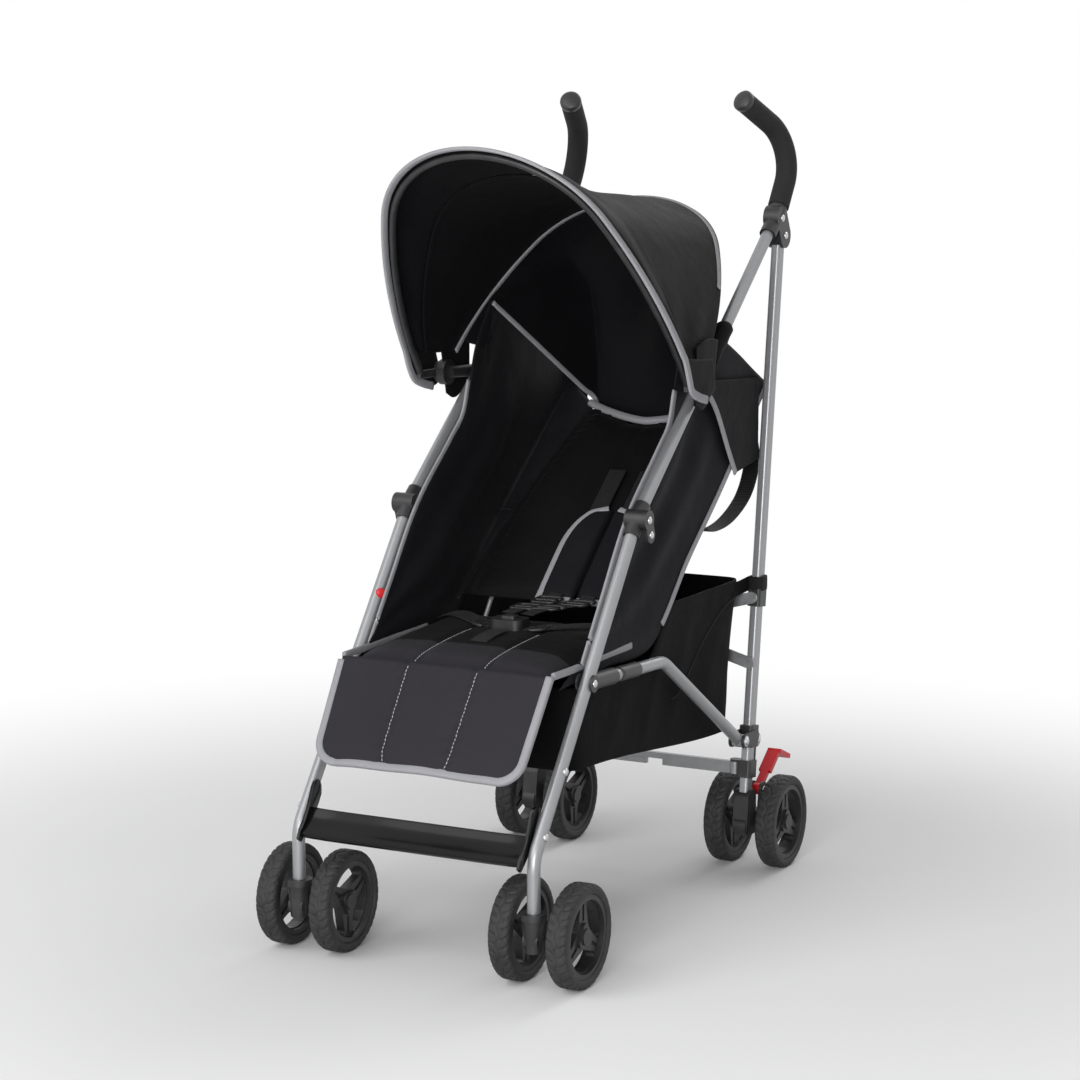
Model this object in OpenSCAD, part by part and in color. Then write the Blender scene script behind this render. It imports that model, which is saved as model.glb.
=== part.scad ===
// Umbrella stroller: folding tube frame, twin wheels, sling seat, canopy and basket.
// Millimetres, +Z up, the child faces -Y, the child's left is +X.

/* [Layout] */
// Distance from the front axles to the rear axles
wheelbase = 620; // [540:5:680]
// Distance between the left and right side frames, tube centre to tube centre
track = 328; // [300:2:380]
// How far the middle of the overall length lies behind the middle of the wheelbase
box_mid_back = 22; // [0:1:60]
// How far the right side frame slides towards the left one when folded
fold_travel = 190; // [120:5:200]

/* [Wheels] */
// Outer diameter of each tyre
wheel_d = 128; // [110:2:150]
// Width of each tyre
tyre_w = 28; // [22:1:32]
// Diameter of the rim under the tyre
rim_d = 102; // [84:2:108]
// Width of the rim
rim_w = 24; // [18:1:26]
// Width of the rim's outer band, measured along the radius
rim_band = 6; // [4:0.5:9]
// Diameter of the hub boss in the middle of each rim
hub_d = 26; // [20:1:32]
// Width of a spoke where it leaves the hub
spoke_w = 17; // [12:1:22]
// Thickness of the spoke web
web_t = 12; // [8:1:16]
// Depth of the grooves in the spokes
groove_t = 2.5; // [1:0.5:4]
// Distance between the two wheels of a pair, centre to centre
wheel_gauge = 77; // [68:1:90]
// Diameter of the axles
axle_d = 8; // [6:0.5:10]
// Distance from the caster's swivel axis back to its axle
caster_trail = 42; // [30:1:55]
// How far the axle's ends lie inside the rims' outer faces
axle_inset = 4; // [3:0.5:6]
// Height of the caster collar's top
collar_h = 98; // [90:1:110]
// Diameter of the caster's collar
collar_d = 33; // [28:1:36]
// Height of the caster's collar ring
collar_tall = 8; // [5:1:12]
// How far the front leg reaches into the caster
stem_in = 30; // [22:1:36]
// Height of the caster socket's lower end
fork_low_h = 50; // [44:1:56]
// Diameter of the caster socket's lower end
fork_tip_d = 22; // [20:1:28]
// Width of the caster's trailing arm
arm_w = 20; // [14:1:26]
// Height of the rear axle block's leg socket
block_top_h = 100; // [92:1:110]
// Distance from a rear leg's foot back to its axle
rear_axle_back = 42; // [34:1:55]

/* [Frame tubes] */
// Outer diameter of the round tubes
tube_d = 16; // [14:0.5:20]
// Wall of the round tubes
tube_wall = 1.4; // [1:0.1:2]
// Radius of the tube bends, on the tube's centre line
bend_r = 48; // [36:2:60]
// Height of the bend in the front leg
leg_bend_h = 163; // [145:1:185]
// Lean of the front leg from upright
leg_lean = 36.5; // [30:0.5:42]
// Height of the mid hinge
hinge_h = 533; // [500:1:560]
// Lean of the push tube from upright
push_lean = 50.2; // [46:0.2:54]
// Height of the push tube's top end
push_top_h = 893; // [860:1:920]
// Width of the rear leg tube, side to side
leg_w = 13; // [11:0.5:16]
// Depth of the rear leg tube, front to back
leg_depth = 20; // [16:0.5:24]
// Corner radius of the rear leg tube
leg_corner = 4; // [2:0.5:5]
// Wall of the rear leg tube
leg_wall = 1.6; // [1:0.1:2.4]
// Height of the rear leg's foot
foot_h = 60; // [50:1:70]
// How far the rear leg's pivot lies behind the push tube's top end
pivot_back = 12; // [8:1:24]
// How far the rear leg's pivot lies below the push tube's top end
pivot_drop = 24; // [18:1:32]

/* [Joint pieces] */
// Outside diameter of the mid hinge's barrel
hinge_d = 26; // [23:0.5:32]
// Length of the mid hinge's barrel
hinge_w = 30; // [24:1:36]
// Length of the sleeves that hold tube ends
sleeve_l = 34; // [26:1:44]
// Wall of the plastic sleeves round the tubes
sleeve_wall = 3.4; // [2.5:0.1:4.5]
// Wall of the seat tube's front socket
socket_wall = 2.6; // [2:0.1:3.2]
// Length of the mid hinge's sleeves from its centre
hinge_sleeve = 24; // [20:1:32]
// How far the tube ends reach into the mid hinge's barrel
tube_in = 4; // [2:0.5:6]
// Thickness of the plastic cheeks and ears
cheek_t = 3; // [2.5:0.5:4]
// Length of the spigot that holds the grip
spigot_l = 26; // [20:1:34]
// How far the rear leg's end stands above its pivot
leg_over = 6; // [4:0.5:10]
// Width of the top bracket's cheek
cheek_w = 22; // [19:0.5:28]
// Radius of the top bracket's cheek round its two rivets
cheek_r = 17; // [14:0.5:20]
// Clearance between a tube and the piece it seats in
fit = 0.15; // [0.1:0.05:0.3]
// Running clearance between pieces that turn or slide on each other
run = 0.3; // [0.2:0.05:0.5]

/* [Handle] */
// Diameter of the foam grips
grip_d = 29; // [25:0.5:34]
// Length of the grip's lower run, from the push tube's end to its corner
grip_rise_l = 118; // [90:2:140]
// Lean of the grip's lower run from upright
grip_lean = 34; // [28:1:42]
// Length of the grip's upper run, from the corner to its end
grip_top_l = 124; // [100:2:150]
// Angle of the upper run above level
grip_top_rise = 29; // [15:1:45]
// Angle by which the upper run turns inwards from straight ahead
grip_toe_in = 18; // [0:1:30]
// Radius of the grip's bend
grip_bend_r = 58; // [45:1:70]

/* [Seat frame] */
// Height of the seat tube's pivot on the front leg
seat_pivot_h = 350; // [330:1:370]
// Distance from that pivot back to the seat tube's bend
seat_run = 216; // [180:2:250]
// Height of the seat tube's bend
seat_bend_h = 339; // [325:1:350]
// Height of the bracket that holds the seat tube on the rear leg
bracket_h = 186; // [170:1:205]
// Height of that bracket
bracket_tall = 30; // [24:1:38]
// Diameter of the pivot pins in the side frame
pin_d = 8; // [6:0.5:10]
// How far the seat tube's rear pin lies in front of the rear leg
bracket_fore = 34; // [30:1:42]
// Length of the socket on the seat tube's front end
socket_l = 70; // [50:2:90]

/* [Rear brace] */
// Height of the cross bars' lower pivots
brace_low_h = 287; // [275:1:300]
// Height of the cross bars' upper ends
brace_high_h = 376; // [362:1:392]
// Height of a cross bar's strip
bar_tall = 16; // [12:1:20]
// Thickness of a cross bar's strip
bar_t = 4; // [3:0.5:5]
// Height of the folding lock links
link_h = 141; // [139:1:146]
// Height of a lock link's strip
link_tall = 17; // [14:1:18]
// Thickness of a lock link's strip
link_t = 7; // [5:0.5:9]
// Length of the half-height laps at the middle of the links
link_lap = 49; // [40:1:60]
// How far each link reaches past the middle
link_over = 12; // [8:1:16]
// Distance of the links' upright pins inside the rear legs
link_in = 11; // [10:0.5:16]
// Diameter of the pins that the links and bars turn on
rivet_d = 6; // [5:0.5:8]
// Height of the slider that carries a cross bar's upper end
slider_tall = 24; // [18:1:30]

/* [Brake] */
// Width of the brake lever
lever_w = 20; // [14:1:30]
// Length of the brake lever from its pivot to the tip
lever_l = 100; // [80:1:120]
// Lean of the brake lever from level
lever_rise = 36; // [25:1:45]
// Thickness of the brake lever's blade
lever_t = 6; // [4:0.5:9]
// Angle by which the foot pad turns down from the blade
pad_tip = 58; // [40:1:65]
// Thickness of the ribs on the foot pad
rib_t = 2; // [1:0.5:3]
// How far the lever's pivot lies behind the rear axle
lever_back = 6; // [2:1:10]
// Height of the lever's pivot above the rear axle
lever_up = 40; // [36:1:46]
// Thickness of the ears beside the lever
ear_t = 4; // [3:0.5:5]

/* [Footrest] */
// Depth of the footrest, front to back
footrest_depth = 40; // [30:1:60]
// Thickness of the footrest board
footrest_t = 5; // [3:0.5:8]
// Height of the footrest's rear edge
footrest_h = 185; // [178:1:196]
// Forward tilt of the footrest
footrest_tilt = 42; // [5:1:50]
// How far the footrest's rear edge lies behind the caster's swivel axis
footrest_back = 16; // [8:1:30]
// Height of the upstands at the footrest's ends
upstand_tall = 34; // [24:1:50]

/* [Seat] */
// Depth of the seat pad from its front edge to the crease
seat_depth = 262; // [230:2:290]
// Height of the seat pad's front edge
seat_front_h = 372; // [364:1:384]
// Height of the seat pad's rear edge
seat_rear_h = 384; // [376:1:396]
// Thickness of the seat pad
pad_t = 24; // [18:1:30]
// Crown of the seat pad
pad_crown = 7; // [3:0.5:12]
// Length of the backrest
back_l = 404; // [350:2:430]
// Half width of the backrest's top
back_top_half = 122; // [100:1:144]
// Lean of the backrest from upright
back_lean = 52; // [40:1:58]
// Thickness of the backrest at its edge
back_t = 16; // [12:1:22]
// Crown of the backrest
back_crown = 10; // [4:0.5:14]
// Depth of the stitched channels
groove_d = 3; // [1:0.5:5]
// How far the seat's crease lies in front of the middle of the wheelbase
crease_fore = 6; // [0:1:20]
// Swing of the backrest from reclined to upright, in degrees
recline_swing = 26; // [15:1:30]
// Diameter of the rod that carries the backrest
rod_d = 8; // [6:0.5:10]
// How far the rod's ends lie inside the seat's sides
rod_inset = 7; // [4:1:20]
// How far up the backrest the rod's legs reach
rod_leg_l = 60; // [50:2:90]
// Length of the calf flap
flap_l = 138; // [120:2:170]
// Lean of the calf flap from upright
flap_lean = 33; // [20:1:42]
// Thickness of the calf flap
flap_t = 13; // [10:1:16]
// Thickness of the side wings' cloth
wing_t = 5; // [3:0.5:8]
// How far the wings' folds stand out
wing_fold = 4; // [0:0.5:6]

/* [Canopy] */
// Distance of the canopy pivots outside the tube centre
canopy_out = 27; // [24:1:34]
// Distance of the canopy pivots in front of the push tube
canopy_fore = 55; // [45:1:65]
// Height of the canopy pivots
canopy_h = 692; // [670:1:710]
// How far the front bow's plane lies in front of the pivots
bow_fore = 50; // [40:1:60]
// Rise of the front bow along its plane
bow_rise = 358; // [330:2:380]
// Angle of the front bow above straight ahead
bow_angle = 54.2; // [45:0.2:62]
// Angle of the rear bow above straight ahead
rear_angle = 136; // [128:1:144]
// Rise of the rear bow along its plane
rear_r = 336; // [310:2:350]
// Part of the way from front bow to rear bow where the canopy's fixed part begins
canopy_split = 0.24; // [0.2:0.02:0.3]
// How far the moving part laps over the fixed part, as a part of that way
canopy_lap = 0.04; // [0.02:0.01:0.06]
// How far the cloth reaches in front of the front bow, as a part of that way
canopy_lip = 0.008; // [0:0.002:0.012]
// Swing of the front bow backwards, in degrees
canopy_swing = 36; // [20:1:40]
// Sag of the cloth between the bows
cloth_sag = 8; // [0:1:14]
// Thickness of the canopy cloth
cloth_t = 3; // [2:0.5:4]
// Gap between the canopy's moving and fixed parts
cloth_gap = 2; // [1:0.5:4]
// Diameter of the front bow
bow_d = 9; // [7:0.5:12]
// Radius of the bows' round top
bow_top_r = 156; // [120:2:170]
// Diameter of the discs at the front bow's ends
bow_foot_d = 28; // [24:1:34]
// Thickness of those discs
bow_foot_t = 6; // [5:0.5:8]
// Diameter of the canopy clips' hubs
clip_d = 34; // [28:1:38]
// Half thickness of the canopy clips' hubs
clip_w = 6; // [4:0.5:8]
// Part of the bows' length left bare below the cloth at each end
hem_part = 0.045; // [0.03:0.005:0.07]
// Where the rear curtain is sewn on, as a part of the way from front bow to rear bow
curtain_at = 0.985; // [0.97:0.005:0.99]
// Part of the rear bow's length that the rear curtain hangs from
curtain_part = 0.66; // [0.56:0.02:0.7]
// Half width of the rear curtain behind the backrest
curtain_half = 116; // [100:1:122]
// How far the rear curtain hangs below the backrest's top edge
curtain_drop = 44; // [20:1:60]
// How far the rear curtain bulges backwards
curtain_belly = 34; // [20:1:44]
// Depth of the rear curtain's folds
curtain_fold = 5; // [0:1:8]

/* [Basket] */
// How far the basket's front end lies in front of the middle of the wheelbase
basket_fore = 222; // [180:2:240]
// Gap between the basket's rear end and the cross bars
basket_gap = 5.3; // [3:0.1:20]
// Height of the basket's rim under the seat
basket_front_h = 336; // [325:1:340]
// Rise of the basket's floor towards the front
basket_floor_rise = 46; // [20:1:60]
// Height of the basket's rim
basket_top_h = 402; // [390:1:410]
// Height of the basket's floor at the back
basket_floor_h = 214; // [205:1:225]
// How far in front of the middle of the wheelbase the basket's rim begins to rise
basket_step_fore = 20; // [0:2:40]
// Length over which the basket's rim rises
basket_step_l = 90; // [70:2:120]
// Length of the basket's tabs along its sides
basket_tab_l = 70; // [50:2:90]
// Height of the basket's tabs
basket_tab_w = 10; // [8:1:14]
// Thickness of the basket's cloth
basket_t = 3; // [2:0.5:5]

/* [Harness] */
// Width of the harness webbing
web_w = 25; // [20:1:32]
// Thickness of the harness webbing
web_thick = 2; // [1.5:0.25:3]
// How far the straps lie above the seat pad
strap_lift = 1.2; // [0.8:0.1:3]
// How far the buckle lies in front of the seat's crease
buckle_fore = 100; // [80:2:120]
// Width of the buckle
buckle_w = 46; // [38:1:56]
// Length of the buckle
buckle_l = 36; // [30:1:44]
// Thickness of the buckle
buckle_t = 13; // [11:0.5:16]
// Width of the release button
button_w = 20; // [16:1:24]
// How far the release button stands proud
button_out = 3.5; // [3.2:0.1:6]
// Travel of the buckle's release button
button_travel = 3; // [2:0.5:5]

/* [Hidden] */
$fn = 48;
frame_x = track / 2;
tube_r = tube_d / 2;
axle_h = wheel_d / 2;
front_axle_y = -wheelbase / 2;
rear_axle_y = wheelbase / 2;
swivel_y = front_axle_y - caster_trail;
foot_y = rear_axle_y - rear_axle_back;

// Side frame points as [y, z] and directions as [x, y, z]
hinge = [swivel_y + (hinge_h - leg_bend_h) * tan(leg_lean), hinge_h];
push_top = [hinge.x + (push_top_h - hinge_h) * tan(push_lean), push_top_h];
rear_top = [push_top.x + pivot_back, push_top.y - pivot_drop];
rear_foot = [foot_y, foot_h];
rear_lean = atan((rear_top.x - rear_foot.x) / (rear_top.y - rear_foot.y));
rear_leg_l = norm(rear_top - rear_foot);
seat_pivot = [swivel_y + (seat_pivot_h - leg_bend_h) * tan(leg_lean), seat_pivot_h];
seat_bend = [seat_pivot.x + seat_run, seat_bend_h];
bracket_pin = [foot_y + (bracket_h - foot_h) * tan(rear_lean) - bracket_fore, bracket_h];
lever_pivot = [rear_axle_y + lever_back, axle_h + lever_up];
leg_clear = tube_r * (tan(leg_lean) + 1 / cos(leg_lean)) + socket_wall;
leg_dir = [0, sin(leg_lean), cos(leg_lean)];
push_dir = [0, sin(push_lean), cos(push_lean)];
grip_dir = [0, sin(grip_lean), cos(grip_lean)];
grip_top_dir = [
    -sin(grip_toe_in) * cos(grip_top_rise), -cos(grip_toe_in) * cos(grip_top_rise), sin(grip_top_rise)
];
grip_start = cheek_r + 1;

// Where a round meets a straight run: step in radius, and how far the run reaches into a bend
bend_step = 0.05;
bend_lap = 1.5;

// Inner faces of the side frame's plastic, and the cloth that lies against them
wing_outer = frame_x - tube_r - sleeve_wall - run;
wing_inner = wing_outer - wing_t;
seat_half = wing_inner - run;

// Room for the axle blocks between the wheels of a pair, and the radius of the arms to the hubs
block_half = (wheel_gauge - tyre_w) / 2 - 4 * run;
arm_r = hub_d * 0.42;

// Rear brace: the bars lie in front of the rear legs and their sliders
bar_front = leg_depth / 2 + cheek_t + run;
brace_low = leg_height(brace_low_h);
brace_high = leg_height(brace_high_h);
brace_rise = brace_high - brace_low;
bar_l = norm([track, brace_rise]);
bar_angle = atan(brace_rise / track);
bar_fold = acos((track - fold_travel) / bar_l) - bar_angle;
slider_rise = sqrt(bar_l * bar_l - pow(track - fold_travel, 2)) - brace_rise;
link_pin_x = frame_x - leg_w / 2 - link_in;
link_pin_y = foot_y + (link_h - foot_h) * tan(rear_lean);
link_fold = acos((link_pin_x * 2 - fold_travel) / (link_pin_x * 2));

// Rear end of the basket at its rim, in front of the cross bars, and its lean along the rear legs
basket_back = foot_y + (basket_top_h - foot_h) * tan(rear_lean)
    - (bar_front + 2 * (bar_t + run)) / cos(rear_lean) - basket_gap;
basket_lean = (basket_top_h - basket_floor_h) * tan(rear_lean);

// Canopy pivot, its bow's middle line and the cloth outside it
canopy_pivot = [
    frame_x + canopy_out,
    hinge.x + (canopy_h - hinge_h) * tan(push_lean) - canopy_fore,
    canopy_h
];
bow_half = canopy_pivot.x + bow_foot_t / 2;
fixed_out = -bow_d / 2 - cloth_gap;

// Seat crease, backrest directions and recline pivot as [y, z]
crease = [-crease_fore, seat_rear_h];
wing_corner = lerp(hinge, push_top, 0.58) + [0, 26];
seat_front_y = crease.x - seat_depth;
back_up = [sin(back_lean), cos(back_lean)];
back_out = [-cos(back_lean), sin(back_lean)];
recline_pivot = crease + [10, -14];
back_start = back_t;
buckle_y = crease.x - buckle_fore;
buckle_base = run + max([
    for (e = [-1, -0.5, 0, 0.5, 1]) seat_top(0, (buckle_y + e * buckle_l / 2 - seat_front_y) / seat_depth)
]);
button_deep = button_travel + 6;

// Geometry helpers
function unit(v) = v / norm(v);
function in_frame(p) = [frame_x, p.x, p.y];
function lerp(a, b, t) = a + (b - a) * t;
function smooth(t) = let (c = min(1, max(0, t))) c * c * (3 - 2 * c);
function squared(a) = pow(pow(abs(cos(a)), 20 / 3) + pow(abs(sin(a)), 20 / 3), -3 / 20);
function leg_height(h) = (h - foot_h) / cos(rear_lean);
function bar_layer(s) = s > 0 ? 0 : 1;

// Mirrors a left-hand piece to the right when s is -1
module side(s) {
    if (s > 0) children();
    else mirror([1, 0, 0]) children();
}

// Moves the whole object so that the middle of its length is at the origin
module placed() {
    translate([0, -box_mid_back, 0]) children();
}

// Straight round bar between two points
module rod(p, q, r) {
    d = q - p;
    translate(p)
        rotate([0, acos(d.z / norm(d)), atan2(d.y, d.x)])
            cylinder(h = norm(d), r = r);
}

// Round bar from a to c by way of b, with a bend at b
module bent_rod(a, b, c, r, bend) {
    u = unit(b - a);
    v = unit(c - b);
    turn = acos(u * v);
    cut = bend * tan(turn / 2);
    out = -unit(v - u * (u * v));
    n = cross(out, u);
    centre = b - u * cut - out * bend;
    multmatrix([
        [out.x, u.x, n.x, centre.x],
        [out.y, u.y, n.y, centre.y],
        [out.z, u.z, n.z, centre.z],
        [0, 0, 0, 1]
    ]) {
        translate([bend, bend_lap, 0]) rotate([90, 0, 0])
            cylinder(h = norm(b - a) - cut + bend_lap, r = r);
        rotate_extrude(angle = turn) translate([bend, 0]) circle(r + bend_step);
        rotate([0, 0, turn]) translate([bend, -bend_lap, 0]) rotate([-90, 0, 0])
            cylinder(h = norm(c - b) - cut + bend_lap, r = r);
    }
}

// Open-ended round tube along the same path
module bent_tube(a, b, c, r, bend, wall) {
    difference() {
        bent_rod(a, b, c, r, bend);
        bent_rod(a - unit(b - a), b, c + unit(c - b), r - wall, bend);
    }
}

// Flat plate with round ends between two side-frame points
module plate(p, q, r, x0, x1) {
    d = q - p;
    half = r - bend_step;
    translate([x0, 0, 0])
        rotate([90, 0, 90])
            linear_extrude(x1 - x0) {
                for (c = [p, q]) translate(c) circle(r);
                translate(p) rotate(atan2(d.y, d.x)) translate([0, -half]) square([norm(d), 2 * half]);
            }
}

// Rectangle with round corners, centred
module round_rect(w, d, r) {
    square([w - 2 * r, d], center = true);
    square([w, d - 2 * r], center = true);
    for (x = [-1, 1], y = [-1, 1])
        translate([x * (w / 2 - r), y * (d / 2 - r)]) circle(r);
}

// Frame of the left rear leg: z runs up the leg from its foot
module on_leg(h) {
    translate(in_frame(rear_foot)) rotate([-rear_lean, 0, 0]) translate([0, 0, h]) children();
}

// Closed solid between an upper and a lower grid of points
module skin(upper, lower) {
    rows = len(upper);
    cols = len(upper[0]);
    n = rows * cols;
    points = concat([for (row = upper) each row], [for (row = lower) each row]);
    faces = concat(
        [for (i = [0:rows - 2], j = [0:cols - 2])
            let (a = i * cols + j) each [[a, a + cols, a + 1], [a + 1, a + cols, a + cols + 1]]],
        [for (i = [0:rows - 2], j = [0:cols - 2])
            let (a = n + i * cols + j) each [[a, a + 1, a + cols], [a + 1, a + cols + 1, a + cols]]],
        [for (j = [0:cols - 2]) each [[j, j + 1, n + j], [j + 1, n + j + 1, n + j]]],
        [for (j = [0:cols - 2]) let (a = (rows - 1) * cols + j)
            each [[a, n + a, a + 1], [a + 1, n + a, n + a + 1]]],
        [for (i = [0:rows - 2]) let (a = i * cols)
            each [[a, n + a, a + cols], [a + cols, n + a, n + a + cols]]],
        [for (i = [0:rows - 2]) let (a = i * cols + cols - 1)
            each [[a, a + cols, n + a], [a + cols, n + a + cols, n + a]]]
    );
    polyhedron(points, faces);
}

// Open tub between an outer and an inner stack of rings, from the rim to the middle of the floor
module tub(outer, inner) {
    rings = len(outer);
    cols = len(outer[0]);
    n = rings * cols;
    points = concat([for (ring = outer) each ring], [for (ring = inner) each ring]);
    faces = concat(
        [for (i = [0:rings - 2], j = [0:cols - 1])
            let (a = i * cols + j, b = i * cols + (j + 1) % cols)
                each [[a, a + cols, b], [b, a + cols, b + cols]]],
        [for (i = [0:rings - 2], j = [0:cols - 1])
            let (a = n + i * cols + j, b = n + i * cols + (j + 1) % cols)
                each [[a, b, a + cols], [b, b + cols, a + cols]]],
        [for (j = [0:cols - 1]) let (k = (j + 1) % cols) each [[j, k, n + j], [k, n + k, n + j]]],
        [[for (j = [cols - 1:-1:0]) n - cols + j]],
        [[for (j = [0:cols - 1]) 2 * n - cols + j]]
    );
    polyhedron(points, faces);
}

// Round frame tubes
module push_tube(s) side(s) color("silver")
    difference() {
        rod(in_frame(hinge) + push_dir * (hinge_d / 2 - tube_in), in_frame(push_top), tube_r);
        rod(in_frame(hinge), in_frame(push_top) + push_dir, tube_r - tube_wall);
    }

module front_leg(s) side(s) color("silver")
    bent_tube(
        [frame_x, swivel_y, collar_h - stem_in],
        [frame_x, swivel_y, leg_bend_h],
        in_frame(hinge) - leg_dir * (hinge_d / 2 - tube_in),
        tube_r, bend_r, tube_wall
    );

module seat_tube(s) side(s) color("silver") {
    a = in_frame(seat_pivot);
    b = in_frame(seat_bend);
    c = in_frame(bracket_pin);
    u = unit(b - a);
    v = unit(c - b);
    difference() {
        union() {
            bent_rod(a + u * leg_clear, b, c, tube_r, bend_r);
            translate(c) rotate([0, 90, 0]) cylinder(h = tube_d - 2, r = tube_r + 1, center = true);
        }
        bent_rod(a, b, c - v * (tube_d + pin_d), tube_r - tube_wall, bend_r);
        translate(c) rotate([0, 90, 0]) cylinder(h = tube_d * 2, d = pin_d + 2 * fit, center = true);
    }
}

// Rectangular rear leg with the pin that its cross bar turns on
module rear_leg(s) side(s) color("silver")
    on_leg(0) {
        linear_extrude(rear_leg_l + leg_over)
            difference() {
                round_rect(leg_w, leg_depth, leg_corner);
                round_rect(leg_w - 2 * leg_wall, leg_depth - 2 * leg_wall, leg_corner - leg_wall);
            }
        root = leg_depth / 2 - leg_wall / 2;
        tip = bar_front + (bar_layer(s) + 1) * (bar_t + run);
        translate([0, -root, brace_low]) rotate([90, 0, 0]) cylinder(h = tip - root, d = rivet_d);
    }

// Forked plastic socket on the seat tube's front end, its cheeks either side of the front leg
module seat_socket(s) side(s) color("#1c1c1e") {
    a = in_frame(seat_pivot);
    u = unit(in_frame(seat_bend) - a);
    cheek = tube_r + run;
    difference() {
        union() {
            rod(a, a + u * socket_l, tube_r + socket_wall);
            translate(a) rotate([0, 90, 0])
                cylinder(h = 2 * (cheek + socket_wall), r = tube_r + socket_wall, center = true);
        }
        translate(a) rotate([-leg_lean, 0, 0]) {
            cylinder(h = tube_d * 4, r = cheek, center = true);
            translate([-cheek, -tube_d * 2, -tube_d * 2]) cube([2 * cheek, tube_d * 2, tube_d * 4]);
        }
        rod(a + u * tube_r, a + u * (socket_l + 1), tube_r + fit);
    }
}

// Mid hinge: barrel with a short sleeve for each tube and an outer cheek
module mid_hinge(s) side(s) color("#1c1c1e") {
    c = in_frame(hinge);
    tail = hinge + [hinge_d * 0.3, -hinge_d * 0.75];
    inner = frame_x - tube_r - sleeve_wall;
    sleeve_r = tube_r + sleeve_wall - 1;
    difference() {
        union() {
            translate([inner, c.y, c.z]) rotate([0, 90, 0]) cylinder(h = hinge_w, d = hinge_d);
            rod(c, c + push_dir * hinge_sleeve, sleeve_r);
            rod(c, c - leg_dir * hinge_sleeve, sleeve_r);
            plate(hinge, tail, hinge_d * 0.4, inner + hinge_w - 2 * cheek_t, inner + hinge_w - 1);
        }
        rod(c + push_dir * (hinge_d / 2 - tube_in - fit), c + push_dir * hinge_sleeve * 2, tube_r + fit);
        rod(c - leg_dir * (hinge_d / 2 - tube_in - fit), c - leg_dir * hinge_sleeve * 2, tube_r + fit);
    }
}

// Top bracket: sleeve on the push tube, cheek over the rear leg's top, spigot into the grip
module top_bracket(s) side(s) color("#1c1c1e") {
    c = in_frame(push_top);
    difference() {
        union() {
            rod(c - push_dir * sleeve_l, c, tube_r + sleeve_wall);
            plate(push_top, rear_top, cheek_r, frame_x - cheek_w / 2, frame_x + cheek_w / 2);
            rod(c, c + grip_dir * grip_start, grip_d / 2 - 2);
            rod(c, c + grip_dir * (grip_start + spigot_l), tube_r - 1);
        }
        rod(c - push_dir * sleeve_l * 2, c + push_dir * fit, tube_r + fit);
        on_leg(rear_leg_l + leg_over + fit - sleeve_l * 3)
            translate([-leg_w / 2 - fit, -leg_depth / 2 - fit, 0])
                cube([leg_w + 2 * fit, leg_depth + 2 * fit, sleeve_l * 3]);
    }
}

// Foam grip bent over at the top
module grip(s) side(s) color("#161617") {
    c = in_frame(push_top);
    a = c + grip_dir * grip_start;
    b = c + grip_dir * grip_rise_l;
    difference() {
        bent_rod(a, b, b + grip_top_dir * grip_top_l, grip_d / 2, grip_bend_r);
        rod(a - grip_dir, a + grip_dir * (spigot_l + fit), tube_r - 1 + fit);
    }
}

// Bracket up the rear leg: clevis for the seat tube, boss behind, ears and pin for the lock link
module leg_bracket(s) side(s) color("#1c1c1e") {
    outer_w = leg_w + 2 * sleeve_wall;
    outer_d = leg_depth + 2 * sleeve_wall;
    ear_z = link_tall / 2 + run;
    low = leg_height(link_h - ear_z - cheek_t);
    high = leg_height(link_h + ear_z + cheek_t);
    difference() {
        union() {
            on_leg(leg_height(bracket_h) - bracket_tall / 2)
                linear_extrude(bracket_tall) round_rect(outer_w, outer_d, leg_corner);
            on_leg(low) linear_extrude(high - low) round_rect(outer_w, outer_d, leg_corner);
            on_leg(low)
                translate([-leg_w / 2, leg_depth / 2, 0])
                    cube([leg_w, sleeve_wall, leg_height(bracket_h) - low]);
            for (z = [ear_z, -ear_z - cheek_t])
                translate([link_pin_x, link_pin_y, link_h + z]) {
                    cylinder(h = cheek_t, r = link_t);
                    translate([0, -link_t, 0]) cube([link_in, 2 * link_t, cheek_t]);
                }
            translate([link_pin_x, link_pin_y, link_h - ear_z - cheek_t / 2])
                cylinder(h = 2 * ear_z + cheek_t, d = rivet_d);
            for (x = [frame_x - tube_r - run - cheek_t, frame_x + tube_r + run])
                plate(bracket_pin, bracket_pin + [bracket_fore, 0], tube_r + 2, x, x + cheek_t);
            translate(in_frame(bracket_pin + [bracket_fore + outer_d / 2 + 3, -8]))
                rotate([0, 90, 0]) cylinder(h = outer_w * 0.7, r = tube_r + 1, center = true);
            translate(in_frame(bracket_pin)) rotate([0, 90, 0])
                cylinder(h = 2 * (tube_r + run + cheek_t), d = pin_d, center = true);
        }
        on_leg(low - bracket_tall)
            translate([-leg_w / 2 - fit, -leg_depth / 2 - fit, 0])
                cube([leg_w + 2 * fit, leg_depth + 2 * fit, bracket_tall * 5]);
    }
}

// Caster fork: tapered socket round the leg, trailing arm, hub and axle
module caster_fork(s) side(s) color("#1c1c1e") {
    difference() {
        union() {
            translate([frame_x, swivel_y, fork_low_h])
                cylinder(h = collar_h - fork_low_h, d1 = fork_tip_d, d2 = collar_d - 3);
            translate([frame_x, swivel_y, collar_h - collar_tall]) cylinder(h = collar_tall, d = collar_d);
            plate(
                [swivel_y, axle_h], [front_axle_y, axle_h],
                arm_r, frame_x - arm_w / 2, frame_x + arm_w / 2
            );
            translate([frame_x, front_axle_y, axle_h]) rotate([0, 90, 0])
                cylinder(h = 2 * block_half, r = arm_r + 1, center = true);
            axle(front_axle_y);
        }
        translate([frame_x, swivel_y, collar_h - stem_in - run])
            cylinder(h = stem_in * 2, r = tube_r + run);
    }
}

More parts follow.
